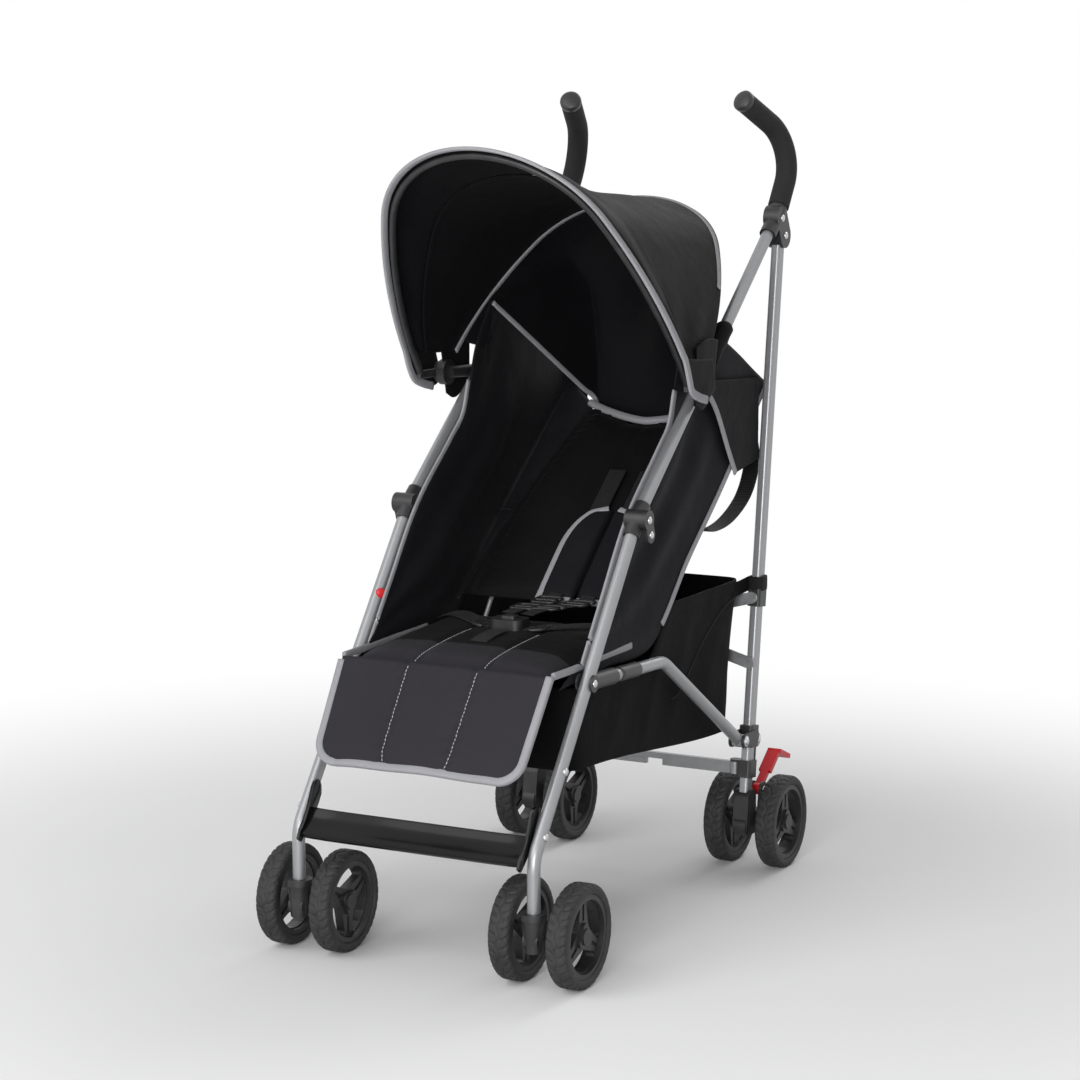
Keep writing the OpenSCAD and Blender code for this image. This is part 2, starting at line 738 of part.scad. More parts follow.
// Steel axle of one pair of wheels
module axle(y)
    translate([frame_x, y, axle_h]) rotate([0, 90, 0])
        cylinder(h = wheel_gauge + rim_w - 2 * axle_inset, d = axle_d, center = true);

// Rear axle block: socket on the leg's foot, arm back to the hub, ears for the brake lever
module axle_block(s) side(s) color("#1c1c1e") {
    toe = [foot_y, axle_h];
    hub = [rear_axle_y, axle_h];
    top = [foot_y + (block_top_h - foot_h) * tan(rear_lean), block_top_h];
    half = leg_w / 2 + sleeve_wall;
    difference() {
        union() {
            plate(toe, hub, leg_depth / 2 + sleeve_wall + 2, frame_x - half + 1, frame_x + half - 1);
            plate(toe, top, leg_depth / 2 + sleeve_wall, frame_x - half - 1, frame_x + half + 1);
            for (x = [frame_x - half, frame_x + half - ear_t]) plate(hub, lever_pivot, arm_r, x, x + ear_t);
            translate(in_frame(lever_pivot)) rotate([0, 90, 0])
                cylinder(h = 2 * half - ear_t, d = pin_d, center = true);
            translate(in_frame(hub)) rotate([0, 90, 0])
                cylinder(h = 2 * block_half, r = arm_r + 1, center = true);
            axle(rear_axle_y);
        }
        on_leg(-fit)
            translate([-leg_w / 2 - fit, -leg_depth / 2 - fit, 0])
                cube([leg_w + 2 * fit, leg_depth + 2 * fit, rear_leg_l]);
    }
}

// Red brake lever: eye on its pin, blade and ribbed foot pad
module brake_lever(s) side(s) color("#c4141c") {
    eye_w = leg_w + 2 * sleeve_wall - 2 * ear_t - 2 * run;
    knee_w = lever_w - 2;
    blade_l = lever_l * 0.72;
    pad_l = lever_l * 0.38;
    translate(in_frame(lever_pivot))
        difference() {
            union() {
                rotate([0, 90, 0]) cylinder(h = eye_w, r = pin_d, center = true);
                rotate([lever_rise, 0, 0]) {
                    translate([-eye_w / 2, 0, -lever_t / 2]) cube([eye_w, blade_l, lever_t]);
                    translate([-knee_w / 2, blade_l * 0.45, -lever_t / 2 + bend_step])
                        cube([knee_w, blade_l * 0.55, lever_t]);
                    translate([0, blade_l, 0]) rotate([-pad_tip, 0, 0]) {
                        rotate([0, 90, 0]) cylinder(h = knee_w - 1, d = lever_t + 1, center = true);
                        translate([-lever_w / 2, 0, -lever_t / 2]) cube([lever_w, pad_l, lever_t]);
                        for (i = [0:3])
                            translate([-knee_w / 2, pad_l * (0.12 + 0.24 * i), lever_t / 2 - 1])
                                cube([knee_w, rib_t, 1 + rib_t / 2]);
                    }
                }
            }
            rotate([0, 90, 0]) cylinder(h = lever_w * 2, d = pin_d + 2 * run, center = true);
        }
}

// Clip on the push tube that carries the canopy's pivot
module canopy_clip(s) side(s) color("#1c1c1e") {
    grab = in_frame(hinge) + push_dir * ((canopy_h - hinge_h) / cos(push_lean));
    hub = canopy_pivot - [clip_w, 0, 0];
    difference() {
        union() {
            rod(grab - push_dir * sleeve_l / 2, grab + push_dir * sleeve_l / 2, tube_r + sleeve_wall);
            rod(grab, hub - [clip_w, 0, 0], tube_r);
            translate(hub - [clip_w, 0, 0]) rotate([0, 90, 0]) cylinder(h = 2 * clip_w - run, d = clip_d);
            translate(hub) rotate([0, 90, 0]) cylinder(h = clip_w + bow_foot_t, d = pin_d);
        }
        rod(grab - push_dir * sleeve_l * 2, grab + push_dir * sleeve_l * 2, tube_r + fit);
    }
}

// Slider on the rear leg that carries a cross bar's upper end
module brace_slider(s) side(s) color("#1c1c1e")
    on_leg(brace_high)
        difference() {
            union() {
                translate([0, 0, -slider_tall / 2])
                    linear_extrude(slider_tall)
                        round_rect(leg_w + 2 * cheek_t, leg_depth + 2 * cheek_t, leg_corner);
                translate([0, leg_depth / 2 + cheek_t - 1, 0]) rotate([-90, 0, 0])
                    cylinder(h = cheek_t + 1, d = pin_d + cheek_t);
            }
            translate([0, 0, -slider_tall])
                linear_extrude(slider_tall * 2)
                    round_rect(leg_w + 2 * run, leg_depth + 2 * run, leg_corner);
        }

// Flat cross bar from the pin on one leg to the slider on the other
module cross_bar(s) side(s) color("silver") {
    ahead = bar_front + bar_layer(s) * (bar_t + run);
    boss_l = ahead - leg_depth / 2;
    on_leg(brace_low)
        translate([0, -ahead, 0]) rotate([90, 0, 0])
            difference() {
                union() {
                    linear_extrude(bar_t)
                        rotate(180 - bar_angle) {
                            for (x = [0, bar_l]) translate([x, 0]) circle(bar_tall / 2);
                            translate([0, -bar_tall / 2]) square([bar_l, bar_tall]);
                        }
                    translate([0, 0, run - boss_l]) cylinder(h = boss_l, d = rivet_d * 2);
                }
                translate([0, 0, -boss_l * 2]) cylinder(h = boss_l * 4, d = rivet_d + 2 * run);
            }
}

// Half of the folding lock: strip on an upright pin, with a half-height lap at the middle
module lock_link(s) side(s) color("silver") {
    reach = link_pin_x + link_over;
    translate([link_pin_x, link_pin_y, link_h])
        difference() {
            union() {
                translate([0, 0, -link_tall / 2]) cylinder(h = link_tall, r = link_t);
                translate([-reach + link_lap, -link_t / 2, -link_tall / 2])
                    cube([reach - link_lap, link_t, link_tall]);
                translate([-reach, -link_t / 2, s > 0 ? run / 2 : -link_tall / 2])
                    cube([link_lap + 1, link_t, link_tall / 2 - run / 2]);
            }
            translate([0, 0, -link_tall]) cylinder(h = link_tall * 2, d = rivet_d + 2 * run);
        }
}

// Flat shape with round corners of equal radius, from corner centres taken anticlockwise
module round_poly(c, r) {
    polygon(c);
    for (i = [0:len(c) - 1]) {
        p = c[i];
        q = c[(i + 1) % len(c)];
        n = (r - bend_step) * [q.y - p.y, p.x - q.x] / norm(q - p);
        polygon([p, p + n, q + n, q]);
        translate(p) circle(r);
    }
}

// Rim: band, three forked spokes, hub with a blind bore for the axle
module rim(s, front, out) side(s) color("#232325")
    translate([frame_x + out * wheel_gauge / 2, front ? front_axle_y : rear_axle_y, axle_h])
        rotate([0, out * 90, 0])
            difference() {
                band_in = rim_d / 2 - rim_band;
                union() {
                    translate([0, 0, -rim_w / 2]) rotate_extrude()
                        translate([band_in, 0]) square([rim_band, rim_w]);
                    translate([0, 0, -web_t / 2])
                        linear_extrude(web_t)
                            difference() {
                                circle(band_in + rim_band / 2);
                                for (k = [0:2]) rotate(120 * k) wheel_opening(band_in);
                            }
                    translate([0, 0, -rim_w / 2]) cylinder(h = rim_w, d = hub_d * 0.8);
                    translate([0, 0, -rim_w / 2 + 2])
                        linear_extrude(rim_w - 4)
                            round_poly(
                                [for (k = [60, 180, 300]) [cos(k), sin(k)] * hub_d * 0.4], hub_d * 0.26
                            );
                }
                for (k = [0:2], z = [web_t / 2 - groove_t, -web_t / 2 - groove_t])
                    rotate(60 + 120 * k) translate([hub_d * 0.75, -spoke_w * 0.14, z])
                        cube([band_in - hub_d * 0.75 - groove_t, spoke_w * 0.28, groove_t * 2]);
                translate([0, 0, -rim_w])
                    cylinder(h = rim_w * 1.5 - axle_inset + fit, d = axle_d + 2 * fit);
            }

// One of the three openings between the spokes
module wheel_opening(band_in) {
    r = hub_d * 0.2;
    far = band_in - r - 1;
    half = 60 - asin(spoke_w / 2 / far) - asin(r / far);
    round_poly([
        [hub_d * 0.82, 0], [cos(half), -sin(half)] * far, [cos(half / 2), -sin(half / 2)] * far,
        [far, 0], [cos(half / 2), sin(half / 2)] * far, [cos(half), sin(half)] * far
    ], r);
}

// Tyre with round shoulders, seated on the rim
module tyre(s, front, out) side(s) color("#2b2b2d") {
    seat = rim_d / 2 + fit;
    round_r = (axle_h - seat) * 0.45;
    translate([frame_x + out * wheel_gauge / 2, front ? front_axle_y : rear_axle_y, axle_h])
        rotate([0, 90, 0])
            rotate_extrude() {
                translate([seat, -tyre_w / 2]) square([axle_h - round_r - seat, tyre_w]);
                translate([seat, -tyre_w / 2 + round_r]) square([axle_h - seat, tyre_w - 2 * round_r]);
                for (x = [-1, 1]) translate([axle_h - round_r, x * (tyre_w / 2 - round_r)]) circle(round_r);
            }
}

// Footrest board with upstands against the front legs
module footrest() color("#1c1c1e") {
    half = frame_x - tube_r - run;
    rear = [swivel_y + footrest_back, footrest_h];
    slope = [-cos(footrest_tilt), -sin(footrest_tilt)];
    front = rear + slope * footrest_depth;
    peak = rear + [0, upstand_tall];
    translate([-half, rear.x, rear.y]) rotate([footrest_tilt, 0, 0])
        translate([0, -footrest_depth, -footrest_t]) cube([2 * half, footrest_depth, footrest_t]);
    translate([-half + footrest_t, rear.x, rear.y]) rotate([footrest_tilt, 0, 0])
        translate([0, -footrest_depth, -footrest_t * 2])
            cube([2 * half - 2 * footrest_t, footrest_t, footrest_t * 2]);
    for (x = [-half, half - footrest_t])
        translate([x, 0, 0]) rotate([90, 0, 90])
            linear_extrude(footrest_t)
                round_poly(
                    [front + [5, 4], rear + [-1, -4], peak + [12, -4], peak + [2, -4], front + [4, 8]], 4
                );
}

// Three-centred arch of half width a and height b: [x, h] at u from 0 on the right to 1 on the left
function arch_top_r(a) = bow_top_r + a - bow_half;
function arch_side_r(a, b) =
    let (r = arch_top_r(a)) (pow(b - r, 2) + a * a - r * r) / (2 * (a - r));
function arch_turn(a, b) = atan((b - arch_top_r(a)) / (arch_side_r(a, b) - a));
function arch_half(a, b, w) =
    let (
        top_r = arch_top_r(a), side_r = arch_side_r(a, b), turn = arch_turn(a, b),
        side_l = side_r * turn, top_l = top_r * (90 - turn), at = w * (side_l + top_l)
    )
    at < side_l
        ? [a - side_r + side_r * cos(at / side_r), side_r * sin(at / side_r)]
        : let (t = turn + (at - side_l) / top_r) [top_r * cos(t), b - top_r + top_r * sin(t)];
function arch(a, b, u) =
    let (p = arch_half(a, b, 1 - abs(2 * u - 1))) [sign(u - 0.5) * p.x, p.y];

// Points on the planes of the front and rear bows, and cloth stretched between them
function on_front(p) =
    [p.x, canopy_pivot.y - bow_fore - p.y * cos(bow_angle), canopy_pivot.z + p.y * sin(bow_angle)];
function on_rear(p) =
    [p.x, canopy_pivot.y - p.y * cos(rear_angle), canopy_pivot.z + p.y * sin(rear_angle)];
function cloth_point(v, u, out) =
    let (
        front = on_front(arch(bow_half + out, bow_rise + out, u)),
        rear = on_rear(arch(bow_half + out, rear_r + out, u))
    )
    lerp(front, rear, v) - [0, 0, cloth_sag * sin(180 * v) * sin(180 * u)];
function gore(from, to, out_from, out_to, rows, cols) = [
    for (i = [0:rows])
        let (v = lerp(from, to, i / rows), out = lerp(out_from, out_to, smooth((i / rows - 0.3) / 0.6)))
        [for (j = [0:cols]) cloth_point(v, lerp(hem_part, 1 - hem_part, j / cols), out)]
];

// Front bow: an arm forward from each pivot, two side arcs and a round top
module canopy_bow() color("#1c1c1e") {
    side_r = arch_side_r(bow_half, bow_rise);
    turn = arch_turn(bow_half, bow_rise);
    up = on_front([0, 1]) - on_front([0, 0]);
    top = on_front([0, bow_rise - bow_top_r]);
    foot = [canopy_pivot.y, canopy_pivot.z];
    lap = asin(bend_lap / side_r);
    difference() {
        union() {
            multmatrix([
                [1, 0, 0, top.x],
                [0, up.y, -up.z, top.y],
                [0, up.z, up.y, top.z],
                [0, 0, 0, 1]
            ]) {
                rotate([0, 0, turn])
                    rotate_extrude(angle = 180 - 2 * turn)
                        translate([bow_top_r, 0]) circle(bow_d / 2 + bend_step);
                for (s = [1, -1]) side(s)
                    rotate([0, 0, turn]) translate([bow_top_r - side_r, 0, 0]) rotate([0, 0, -turn])
                        rotate_extrude(angle = turn + lap) translate([side_r, 0]) circle(bow_d / 2);
            }
            for (s = [1, -1]) side(s) {
                translate([bow_half - bow_foot_t / 2, foot.x, foot.y]) rotate([0, 90, 0])
                    cylinder(h = bow_foot_t, d = bow_foot_d);
                translate([bow_half - bow_d / 2 - 1, foot.x - bow_fore, foot.y]) rotate([0, 90, 0])
                    cylinder(h = bow_d + 2, d = bow_d + 4);
                translate([bow_half - bow_foot_t / 2 + 0.5, foot.x - bow_fore, foot.y - bow_d / 2])
                    cube([bow_foot_t - 1, bow_fore, bow_d]);
            }
        }
        for (x = [-1, 1])
            translate([x * bow_half, foot.x, foot.y]) rotate([0, 90, 0])
                cylinder(h = bow_foot_t * 2, d = pin_d + 2 * run, center = true);
    }
}

// Moving part of the canopy, from the front bow to its lap over the fixed part
module canopy_front() color("#202022") {
    over_bow = bow_d / 2 + 2 * cloth_gap;
    over_cloth = fixed_out + cloth_gap;
    skin(
        gore(-canopy_lip, canopy_split + canopy_lap, over_bow + cloth_t, over_cloth + cloth_t, 6, 30),
        gore(-canopy_lip, canopy_split + canopy_lap, over_bow, over_cloth, 6, 30)
    );
}

// Fixed part of the canopy, back to the rear bow, with the curtain that hangs behind the backrest
module canopy_rear() color("#202022") {
    skin(
        gore(canopy_split, 1, fixed_out, fixed_out, 6, 30),
        gore(canopy_split, 1, fixed_out - cloth_t, fixed_out - cloth_t, 6, 30)
    );
    skin(curtain(0), curtain(cloth_t));
}

// Curtain grid: from the rear bow down behind the backrest, and out to the wings' upper corners
function curtain(inset) =
    let (
        foot = crease + back_up * back_l + [back_t + cloth_t, -curtain_drop],
        corner = wing_corner + [cloth_t, cloth_t] * 2.5
    )
    [for (i = [0:8]) let (v = i / 8)
        [for (j = [0:24]) let (
            w = j / 12 - 1,
            out = smooth((abs(w) - 0.55) / 0.45),
            top = cloth_point(curtain_at, 0.5 + w * curtain_part / 2, fixed_out - cloth_t / 2),
            low = lerp(foot, corner, out),
            low_x = sign(w) * lerp(curtain_half * min(1, abs(w) / 0.55), wing_inner - run, out),
            folds = curtain_fold * sin(180 * v) * cos(540 * w),
            belly = (curtain_belly * sin(180 * pow(v, 0.9)) + folds) * (1 - out)
        ) [
            lerp(top.x, low_x, smooth(3 * v)) - 0.6 * inset * sign(w) * out,
            lerp(top.y, low.x, v) + belly - 0.7 * inset,
            lerp(top.z, low.y, v) - 0.55 * inset
        ]]
    ];

// Fullness of a cushion towards its edges, and the stitched channels across it
function full(u, v) = max(0.25, sqrt((1 - pow(abs(u), 8)) * (1 - pow(abs(2 * v - 1), 8))));
function channel(u) = groove_d * exp(-pow((abs(u) - 1 / 3) * 20, 2));
function crown(u, v) = (1 - pow(abs(u), 3)) * sin(180 * v);

// Seat pad
function seat_mid(v) = lerp(seat_front_h, seat_rear_h, v) - pad_t / 2;
function seat_top(u, v) = seat_mid(v) + pad_t / 2 * full(u, v) + pad_crown * crown(u, v);
function seat_point(u, v) =
    [u * seat_half, lerp(seat_front_y, crease.x, v), seat_top(u, v) - channel(u) * full(u, v)];

module seat_pad() color("#222224")
    skin(
        [for (i = [0:10]) [for (j = [0:24]) seat_point(j / 12 - 1, i / 10)]],
        [for (i = [0:10]) [for (j = [0:24]) let (u = j / 12 - 1, v = i / 10, p = seat_point(u, v))
            [p.x, p.y, seat_mid(v) - pad_t / 2 * full(u, v)]]]
    );

// Calf flap, hung from the seat's front edge, with round lower corners
module calf_flap() color("#414045") {
    down = [-sin(flap_lean), -cos(flap_lean)];
    face = [-cos(flap_lean), sin(flap_lean)];
    top = [seat_front_y - run - flap_t / 2 * cos(flap_lean), seat_front_h - flap_t / 2];
    corner = flap_l * 0.2;
    skin(flap_grid(top, down, face, corner, 1), flap_grid(top, down, face, corner, -1));
}

function flap_half(s, corner) =
    let (left = max(0, s - flap_l + corner))
    seat_half - 2 - s * 0.04 - corner + sqrt(corner * corner - left * left * 0.98);
function flap_grid(top, down, face, corner, dir) = [
    for (i = [0:12]) let (s = flap_l * (1 - pow(i / 12, 1.6)), v = i / 12)
        [for (j = [0:24]) let (
            u = j / 12 - 1,
            lift = dir * flap_t / 2 * full(u, lerp(0, 0.9, v)) + (dir > 0 ? -channel(u) * full(u, v) : 0),
            bow = 8 * (1 - pow(u, 2)) * s / flap_l,
            p = top + down * s + face * (lift + bow)
        ) [u * flap_half(s, corner), p.x, p.y]]
];

// Backrest, crowned, with round upper corners, carried on the cross rod that it turns with
module backrest() color("#222224") {
    axis = [0, recline_pivot.x, recline_pivot.y];
    into = crease + back_up * rod_leg_l;
    half = seat_half - rod_inset;
    skin(back_grid(1), back_grid(-1));
    rod(axis - [half, 0, 0], axis + [half, 0, 0], rod_d / 2);
    for (x = [-0.7, 0.7]) rod(axis + [x * half, 0, 0], [x * half, into.x, into.y], rod_d / 2 - 1);
}

function back_half(s) =
    let (corner = back_l * 0.09, left = max(0, s - back_l + corner))
    lerp(seat_half, back_top_half, pow(s / back_l, 2)) - corner + sqrt(corner * corner - left * left * 0.98);
function back_grid(dir) = [
    for (i = [0:12]) let (v = 1 - pow(1 - i / 12, 1.5), s = lerp(back_start, back_l, v))
        [for (j = [0:16]) let (
            u = j / 8 - 1,
            lift = dir * back_t / 2 * full(u, v) + (dir > 0 ? back_crown : -back_crown / 2) * crown(u, v),
            p = crease + back_up * s + back_out * lift
        ) [u * back_half(s), p.x, p.y]]
];

// Side wings: cloth panels from the tubes in to the seat and the backrest
module side_wings() color("#1f1f21") for (s = [1, -1]) side(s) skin(wing_grid(wing_t), wing_grid(0));

function path(points, t) =
    let (n = len(points) - 1, k = min(n - 1, floor(t * n))) lerp(points[k], points[k + 1], t * n - k);
function wing_grid(out) =
    let (
        tube_edge = [
            seat_pivot + [14, 18], lerp(seat_pivot, hinge, 0.5), hinge + [0, -2],
            lerp(hinge, push_top, 0.2), lerp(hinge, push_top, 0.42), wing_corner
        ],
        seat_edge = [
            [seat_front_y + 8, seat_front_h - pad_t],
            [seat_front_y + seat_depth / 2, seat_mid(0.5) - pad_t / 2],
            crease + [4, -pad_t],
            crease + back_up * back_l * 0.33 - back_out * back_t,
            crease + back_up * back_l * 0.66 - back_out * back_t,
            crease + back_up * back_l - back_out * back_t * 0.5
        ]
    )
    [for (i = [0:8]) let (v = i / 8)
        [for (j = [0:20]) let (
            t = j / 20,
            p = lerp(path(seat_edge, t), path(tube_edge, t), v),
            fold = wing_fold * sin(180 * v) * (0.5 + 0.5 * cos(900 * t))
        ) [wing_inner + out - fold * smooth(2 * v), p.x, p.y]]
    ];

// Basket: open cloth tub under the seat, with a tab to each rear leg
module basket() color("#1a1a1c") {
    leg_y = foot_y + (basket_top_h - basket_tab_w - foot_h) * tan(rear_lean)
        - leg_depth / 2 / cos(rear_lean) - run;
    tub(basket_rings(0), basket_rings(basket_t));
    for (x = [-1, 1])
        translate([x * (wing_outer - 3) - 2, basket_back - basket_tab_l, basket_top_h - basket_tab_w - 1])
            cube([4, leg_y - basket_back + basket_tab_l, basket_tab_w]);
}

function basket_rings(inset) =
    let (
        half = wing_outer - 1,
        mid = (basket_back - basket_fore) / 2,
        run_y = (basket_back + basket_fore) / 2,
        walls = [
            [0, 1], [0.3, 1.0], [0.65, 0.985], [0.9, 0.965],
            [1, 0.93], [1, 0.6], [1, 0.25], [1, 0.02]
        ]
    )
    [for (k = walls)
        [for (j = [0:39]) let (
            a = -9 * j,
            x = (half - inset) * k[1] * cos(a) * squared(a),
            lean = basket_lean * k[0] * smooth(sin(a)),
            y = mid + ((run_y - inset) * k[1] - lean) * sin(a) * squared(a),
            rim_z = lerp(basket_front_h, basket_top_h, smooth((y + basket_step_fore) / basket_step_l)),
            floor_z = basket_floor_h + basket_floor_rise * smooth((basket_back - y) / (2 * run_y)) + inset
        ) [x, y, lerp(rim_z, floor_z, k[0])]]
    ];

// Harness: a lap strap from each side and the crotch strap, lying on the seat
module harness() color("#2a2a2c") {
    for (s = [1, -1]) side(s) skin(lap_strap(web_thick), lap_strap(0));
    skin(crotch_strap(web_thick), crotch_strap(0));
}

function over_seat(x, y, lift) =
    [x, y, seat_top(x / seat_half, (y - seat_front_y) / seat_depth) + strap_lift + lift];
function lap_strap(lift) = [
    for (i = [0:10]) let (
        t = i / 10,
        x = lerp(buckle_w / 2 + run, seat_half - 4, t),
        y = lerp(buckle_y, crease.x - 26, smooth(t))
    )
        [for (j = [0:2]) over_seat(x, y + web_w * (0.5 - j / 2) * lerp(0.8, 1, t), lift)]
];
function crotch_strap(lift) = [
    for (i = [0:6]) let (y = lerp(seat_front_y + seat_depth * 0.3, buckle_y - buckle_l / 2 - run, i / 6))
        [for (j = [0:2]) over_seat(web_w * (j / 2 - 0.5), y, lift)]
];

// Buckle body with a pocket for the release button
module buckle() color("#1c1c1e")
    translate([0, buckle_y, buckle_base])
        difference() {
            linear_extrude(buckle_t) round_rect(buckle_w, buckle_l, buckle_l * 0.3);
            translate([0, 0, buckle_t - button_deep])
                linear_extrude(buckle_t) round_rect(button_w, button_w * 0.8, button_w * 0.2);
        }

module buckle_button() color("#2f2f32")
    translate([0, buckle_y, buckle_base + buckle_t - button_deep + button_travel + run])
        linear_extrude(button_deep - button_travel - run + button_out)
            round_rect(button_w - 2 * run, button_w * 0.8 - 2 * run, button_w * 0.2 - run);

placed() push_tube(1);  // push_tube_left
placed() push_tube(-1);  // push_tube_right
placed() front_leg(1);  // front_leg_left
placed() front_leg(-1);  // front_leg_right
placed() rear_leg(1);  // rear_leg_left
placed() rear_leg(-1);  // rear_leg_right
placed() seat_tube(1);  // seat_tube_left
placed() seat_tube(-1);  // seat_tube_right
placed() seat_socket(1);  // seat_socket_left
placed() seat_socket(-1);  // seat_socket_right
placed() mid_hinge(1);  // mid_hinge_left
placed() mid_hinge(-1);  // mid_hinge_right
placed() top_bracket(1);  // top_bracket_left
placed() top_bracket(-1);  // top_bracket_right
placed() grip(1);  // grip_left
placed() grip(-1);  // grip_right
placed() leg_bracket(1);  // leg_bracket_left
placed() leg_bracket(-1);  // leg_bracket_right
placed() caster_fork(1);  // caster_fork_left
placed() caster_fork(-1);  // caster_fork_right
placed() axle_block(1);  // axle_block_left
placed() axle_block(-1);  // axle_block_right
placed() brake_lever(1);  // brake_lever_left
placed() brake_lever(-1);  // brake_lever_right
placed() canopy_clip(1);  // canopy_clip_left
placed() canopy_clip(-1);  // canopy_clip_right
placed() brace_slider(1);  // brace_slider_left
placed() brace_slider(-1);  // brace_slider_right
placed() lock_link(1);  // lock_link_left
placed() lock_link(-1);  // lock_link_right
placed() cross_bar(1);  // cross_bar_back
placed() cross_bar(-1);  // cross_bar_front
placed() rim(1, true, 1);  // rim_front_left_outer
placed() rim(1, true, -1);  // rim_front_left_inner
placed() rim(-1, true, 1);  // rim_front_right_outer
placed() rim(-1, true, -1);  // rim_front_right_inner
placed() rim(1, false, 1);  // rim_rear_left_outer
placed() rim(1, false, -1);  // rim_rear_left_inner
placed() rim(-1, false, 1);  // rim_rear_right_outer
placed() rim(-1, false, -1);  // rim_rear_right_inner
placed() tyre(1, true, 1);  // tyre_front_left_outer
placed() tyre(1, true, -1);  // tyre_front_left_inner
placed() tyre(-1, true, 1);  // tyre_front_right_outer
placed() tyre(-1, true, -1);  // tyre_front_right_inner
placed() tyre(1, false, 1);  // tyre_rear_left_outer
placed() tyre(1, false, -1);  // tyre_rear_left_inner
placed() tyre(-1, false, 1);  // tyre_rear_right_outer
placed() tyre(-1, false, -1);  // tyre_rear_right_inner
placed() footrest();
placed() canopy_bow();
placed() canopy_front();
placed() canopy_rear();
placed() seat_pad();
placed() calf_flap();
placed() backrest();
placed() side_wings();
placed() basket();
placed() harness();
placed() buckle();
placed() buckle_button();
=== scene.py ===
import bmesh
import bpy
import numpy as np
from mathutils import Matrix


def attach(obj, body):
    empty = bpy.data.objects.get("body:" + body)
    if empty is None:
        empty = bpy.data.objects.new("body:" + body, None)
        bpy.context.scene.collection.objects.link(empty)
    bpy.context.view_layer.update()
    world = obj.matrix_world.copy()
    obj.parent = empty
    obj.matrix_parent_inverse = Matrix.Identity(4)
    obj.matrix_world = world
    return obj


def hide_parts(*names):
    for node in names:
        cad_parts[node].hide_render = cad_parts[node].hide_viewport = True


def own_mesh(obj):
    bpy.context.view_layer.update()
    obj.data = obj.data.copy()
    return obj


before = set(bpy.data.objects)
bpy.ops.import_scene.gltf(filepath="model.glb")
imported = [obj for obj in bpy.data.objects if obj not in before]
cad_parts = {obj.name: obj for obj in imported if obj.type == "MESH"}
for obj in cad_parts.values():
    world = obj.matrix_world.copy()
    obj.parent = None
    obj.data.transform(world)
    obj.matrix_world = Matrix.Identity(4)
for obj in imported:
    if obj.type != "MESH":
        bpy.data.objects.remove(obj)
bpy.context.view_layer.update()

# Studio: a pale floor that runs out of sight, soft lamps high in front, low in front and behind, and a
# camera in front and to the child's left, at about the height of the handles.
camera_place = (1.646, -3.182, 1.026)
camera_turn, camera_rise = np.radians(27.69), np.radians(8.63)
away = np.array([
    np.sin(camera_turn) * np.cos(camera_rise),
    -np.cos(camera_turn) * np.cos(camera_rise),
    np.sin(camera_rise),
])
level = np.array([np.cos(camera_turn), np.sin(camera_turn), 0.0])
lens = bpy.data.cameras.new("studio_camera")
lens.sensor_width, lens.lens = 36.0, 92.4
lens.clip_end = 60.0
camera = bpy.data.objects.new("studio_camera", lens)
camera.matrix_world = Matrix.Translation(camera_place) @ Matrix(
    np.column_stack([level, np.cross(away, level), away]).tolist()
).to_4x4()
bpy.context.scene.collection.objects.link(camera)
bpy.context.scene.camera = camera
bpy.context.scene.view_settings.view_transform = "Standard"


class Socket:
    """An output of a material's nodes; arithmetic with numbers or other outputs adds Math nodes."""

    def __init__(self, finish, out):
        self.finish, self.out = finish, out

    def math(self, operation, *values):
        """Adds one Math node with the values on its sockets."""
        return self.finish.add("ShaderNodeMath", {"operation": operation}, dict(enumerate(values)))

    def __add__(self, other):
        return self.math("ADD", self, other)

    def __mul__(self, other):
        return self.math("MULTIPLY", self, other)

    def __pow__(self, other):
        return self.math("POWER", self, other)

    __radd__, __rmul__ = __add__, __mul__


class Finish:
    """One material: a Principled shader with constants on its sockets, and nodes for what varies."""

    def __init__(self, name, **constants):
        self.material = bpy.data.materials.new(name)
        self.material.use_nodes = True
        self.tree = self.material.node_tree
        self.shader = self.tree.nodes["Principled BSDF"]
        for key, value in constants.items():
            self.put(key.replace("_", " ").title(), value)

    def add(self, kind, settings=None, sockets=None, out=0):
        """Puts in one node: its settings first, then the values or links of its sockets."""
        node = self.tree.nodes.new(kind)
        for key, value in (settings or {}).items():
            setattr(node, key, value)
        for key, value in (sockets or {}).items():
            self.join(node.inputs[key], value)
        return Socket(self, node.outputs[out])

    def join(self, socket, value):
        """Links an output to a socket, or sets the socket to a plain value."""
        if isinstance(value, Socket):
            self.tree.links.new(value.out, socket)
        else:
            socket.default_value = value

    def put(self, key, value):
        """Sets or links one socket of the shader."""
        self.join(self.shader.inputs[key.replace("Ior", "IOR")], value)

    def noise(self, scale, detail=2.0, where=None):
        """Noise from 0 to 1 in the part's own metres."""
        where = where or self.add("ShaderNodeTexCoord", out="Object")
        return self.add("ShaderNodeTexNoise", None, {"Vector": where, "Scale": scale, "Detail": detail})

    def between(self, share, dark, light):
        """Colour that goes from dark to light with the share."""
        return self.add(
            "ShaderNodeMix", {"data_type": "RGBA"}, {0: share, 6: (*dark, 1), 7: (*light, 1)}, out=2
        )

    def relief(self, height, depth, strength=1.0):
        """Raises the surface by height times depth, in metres, where the light falls on it."""
        self.put("Normal", self.add(
            "ShaderNodeBump", None, {"Height": height, "Distance": depth, "Strength": strength}
        ))


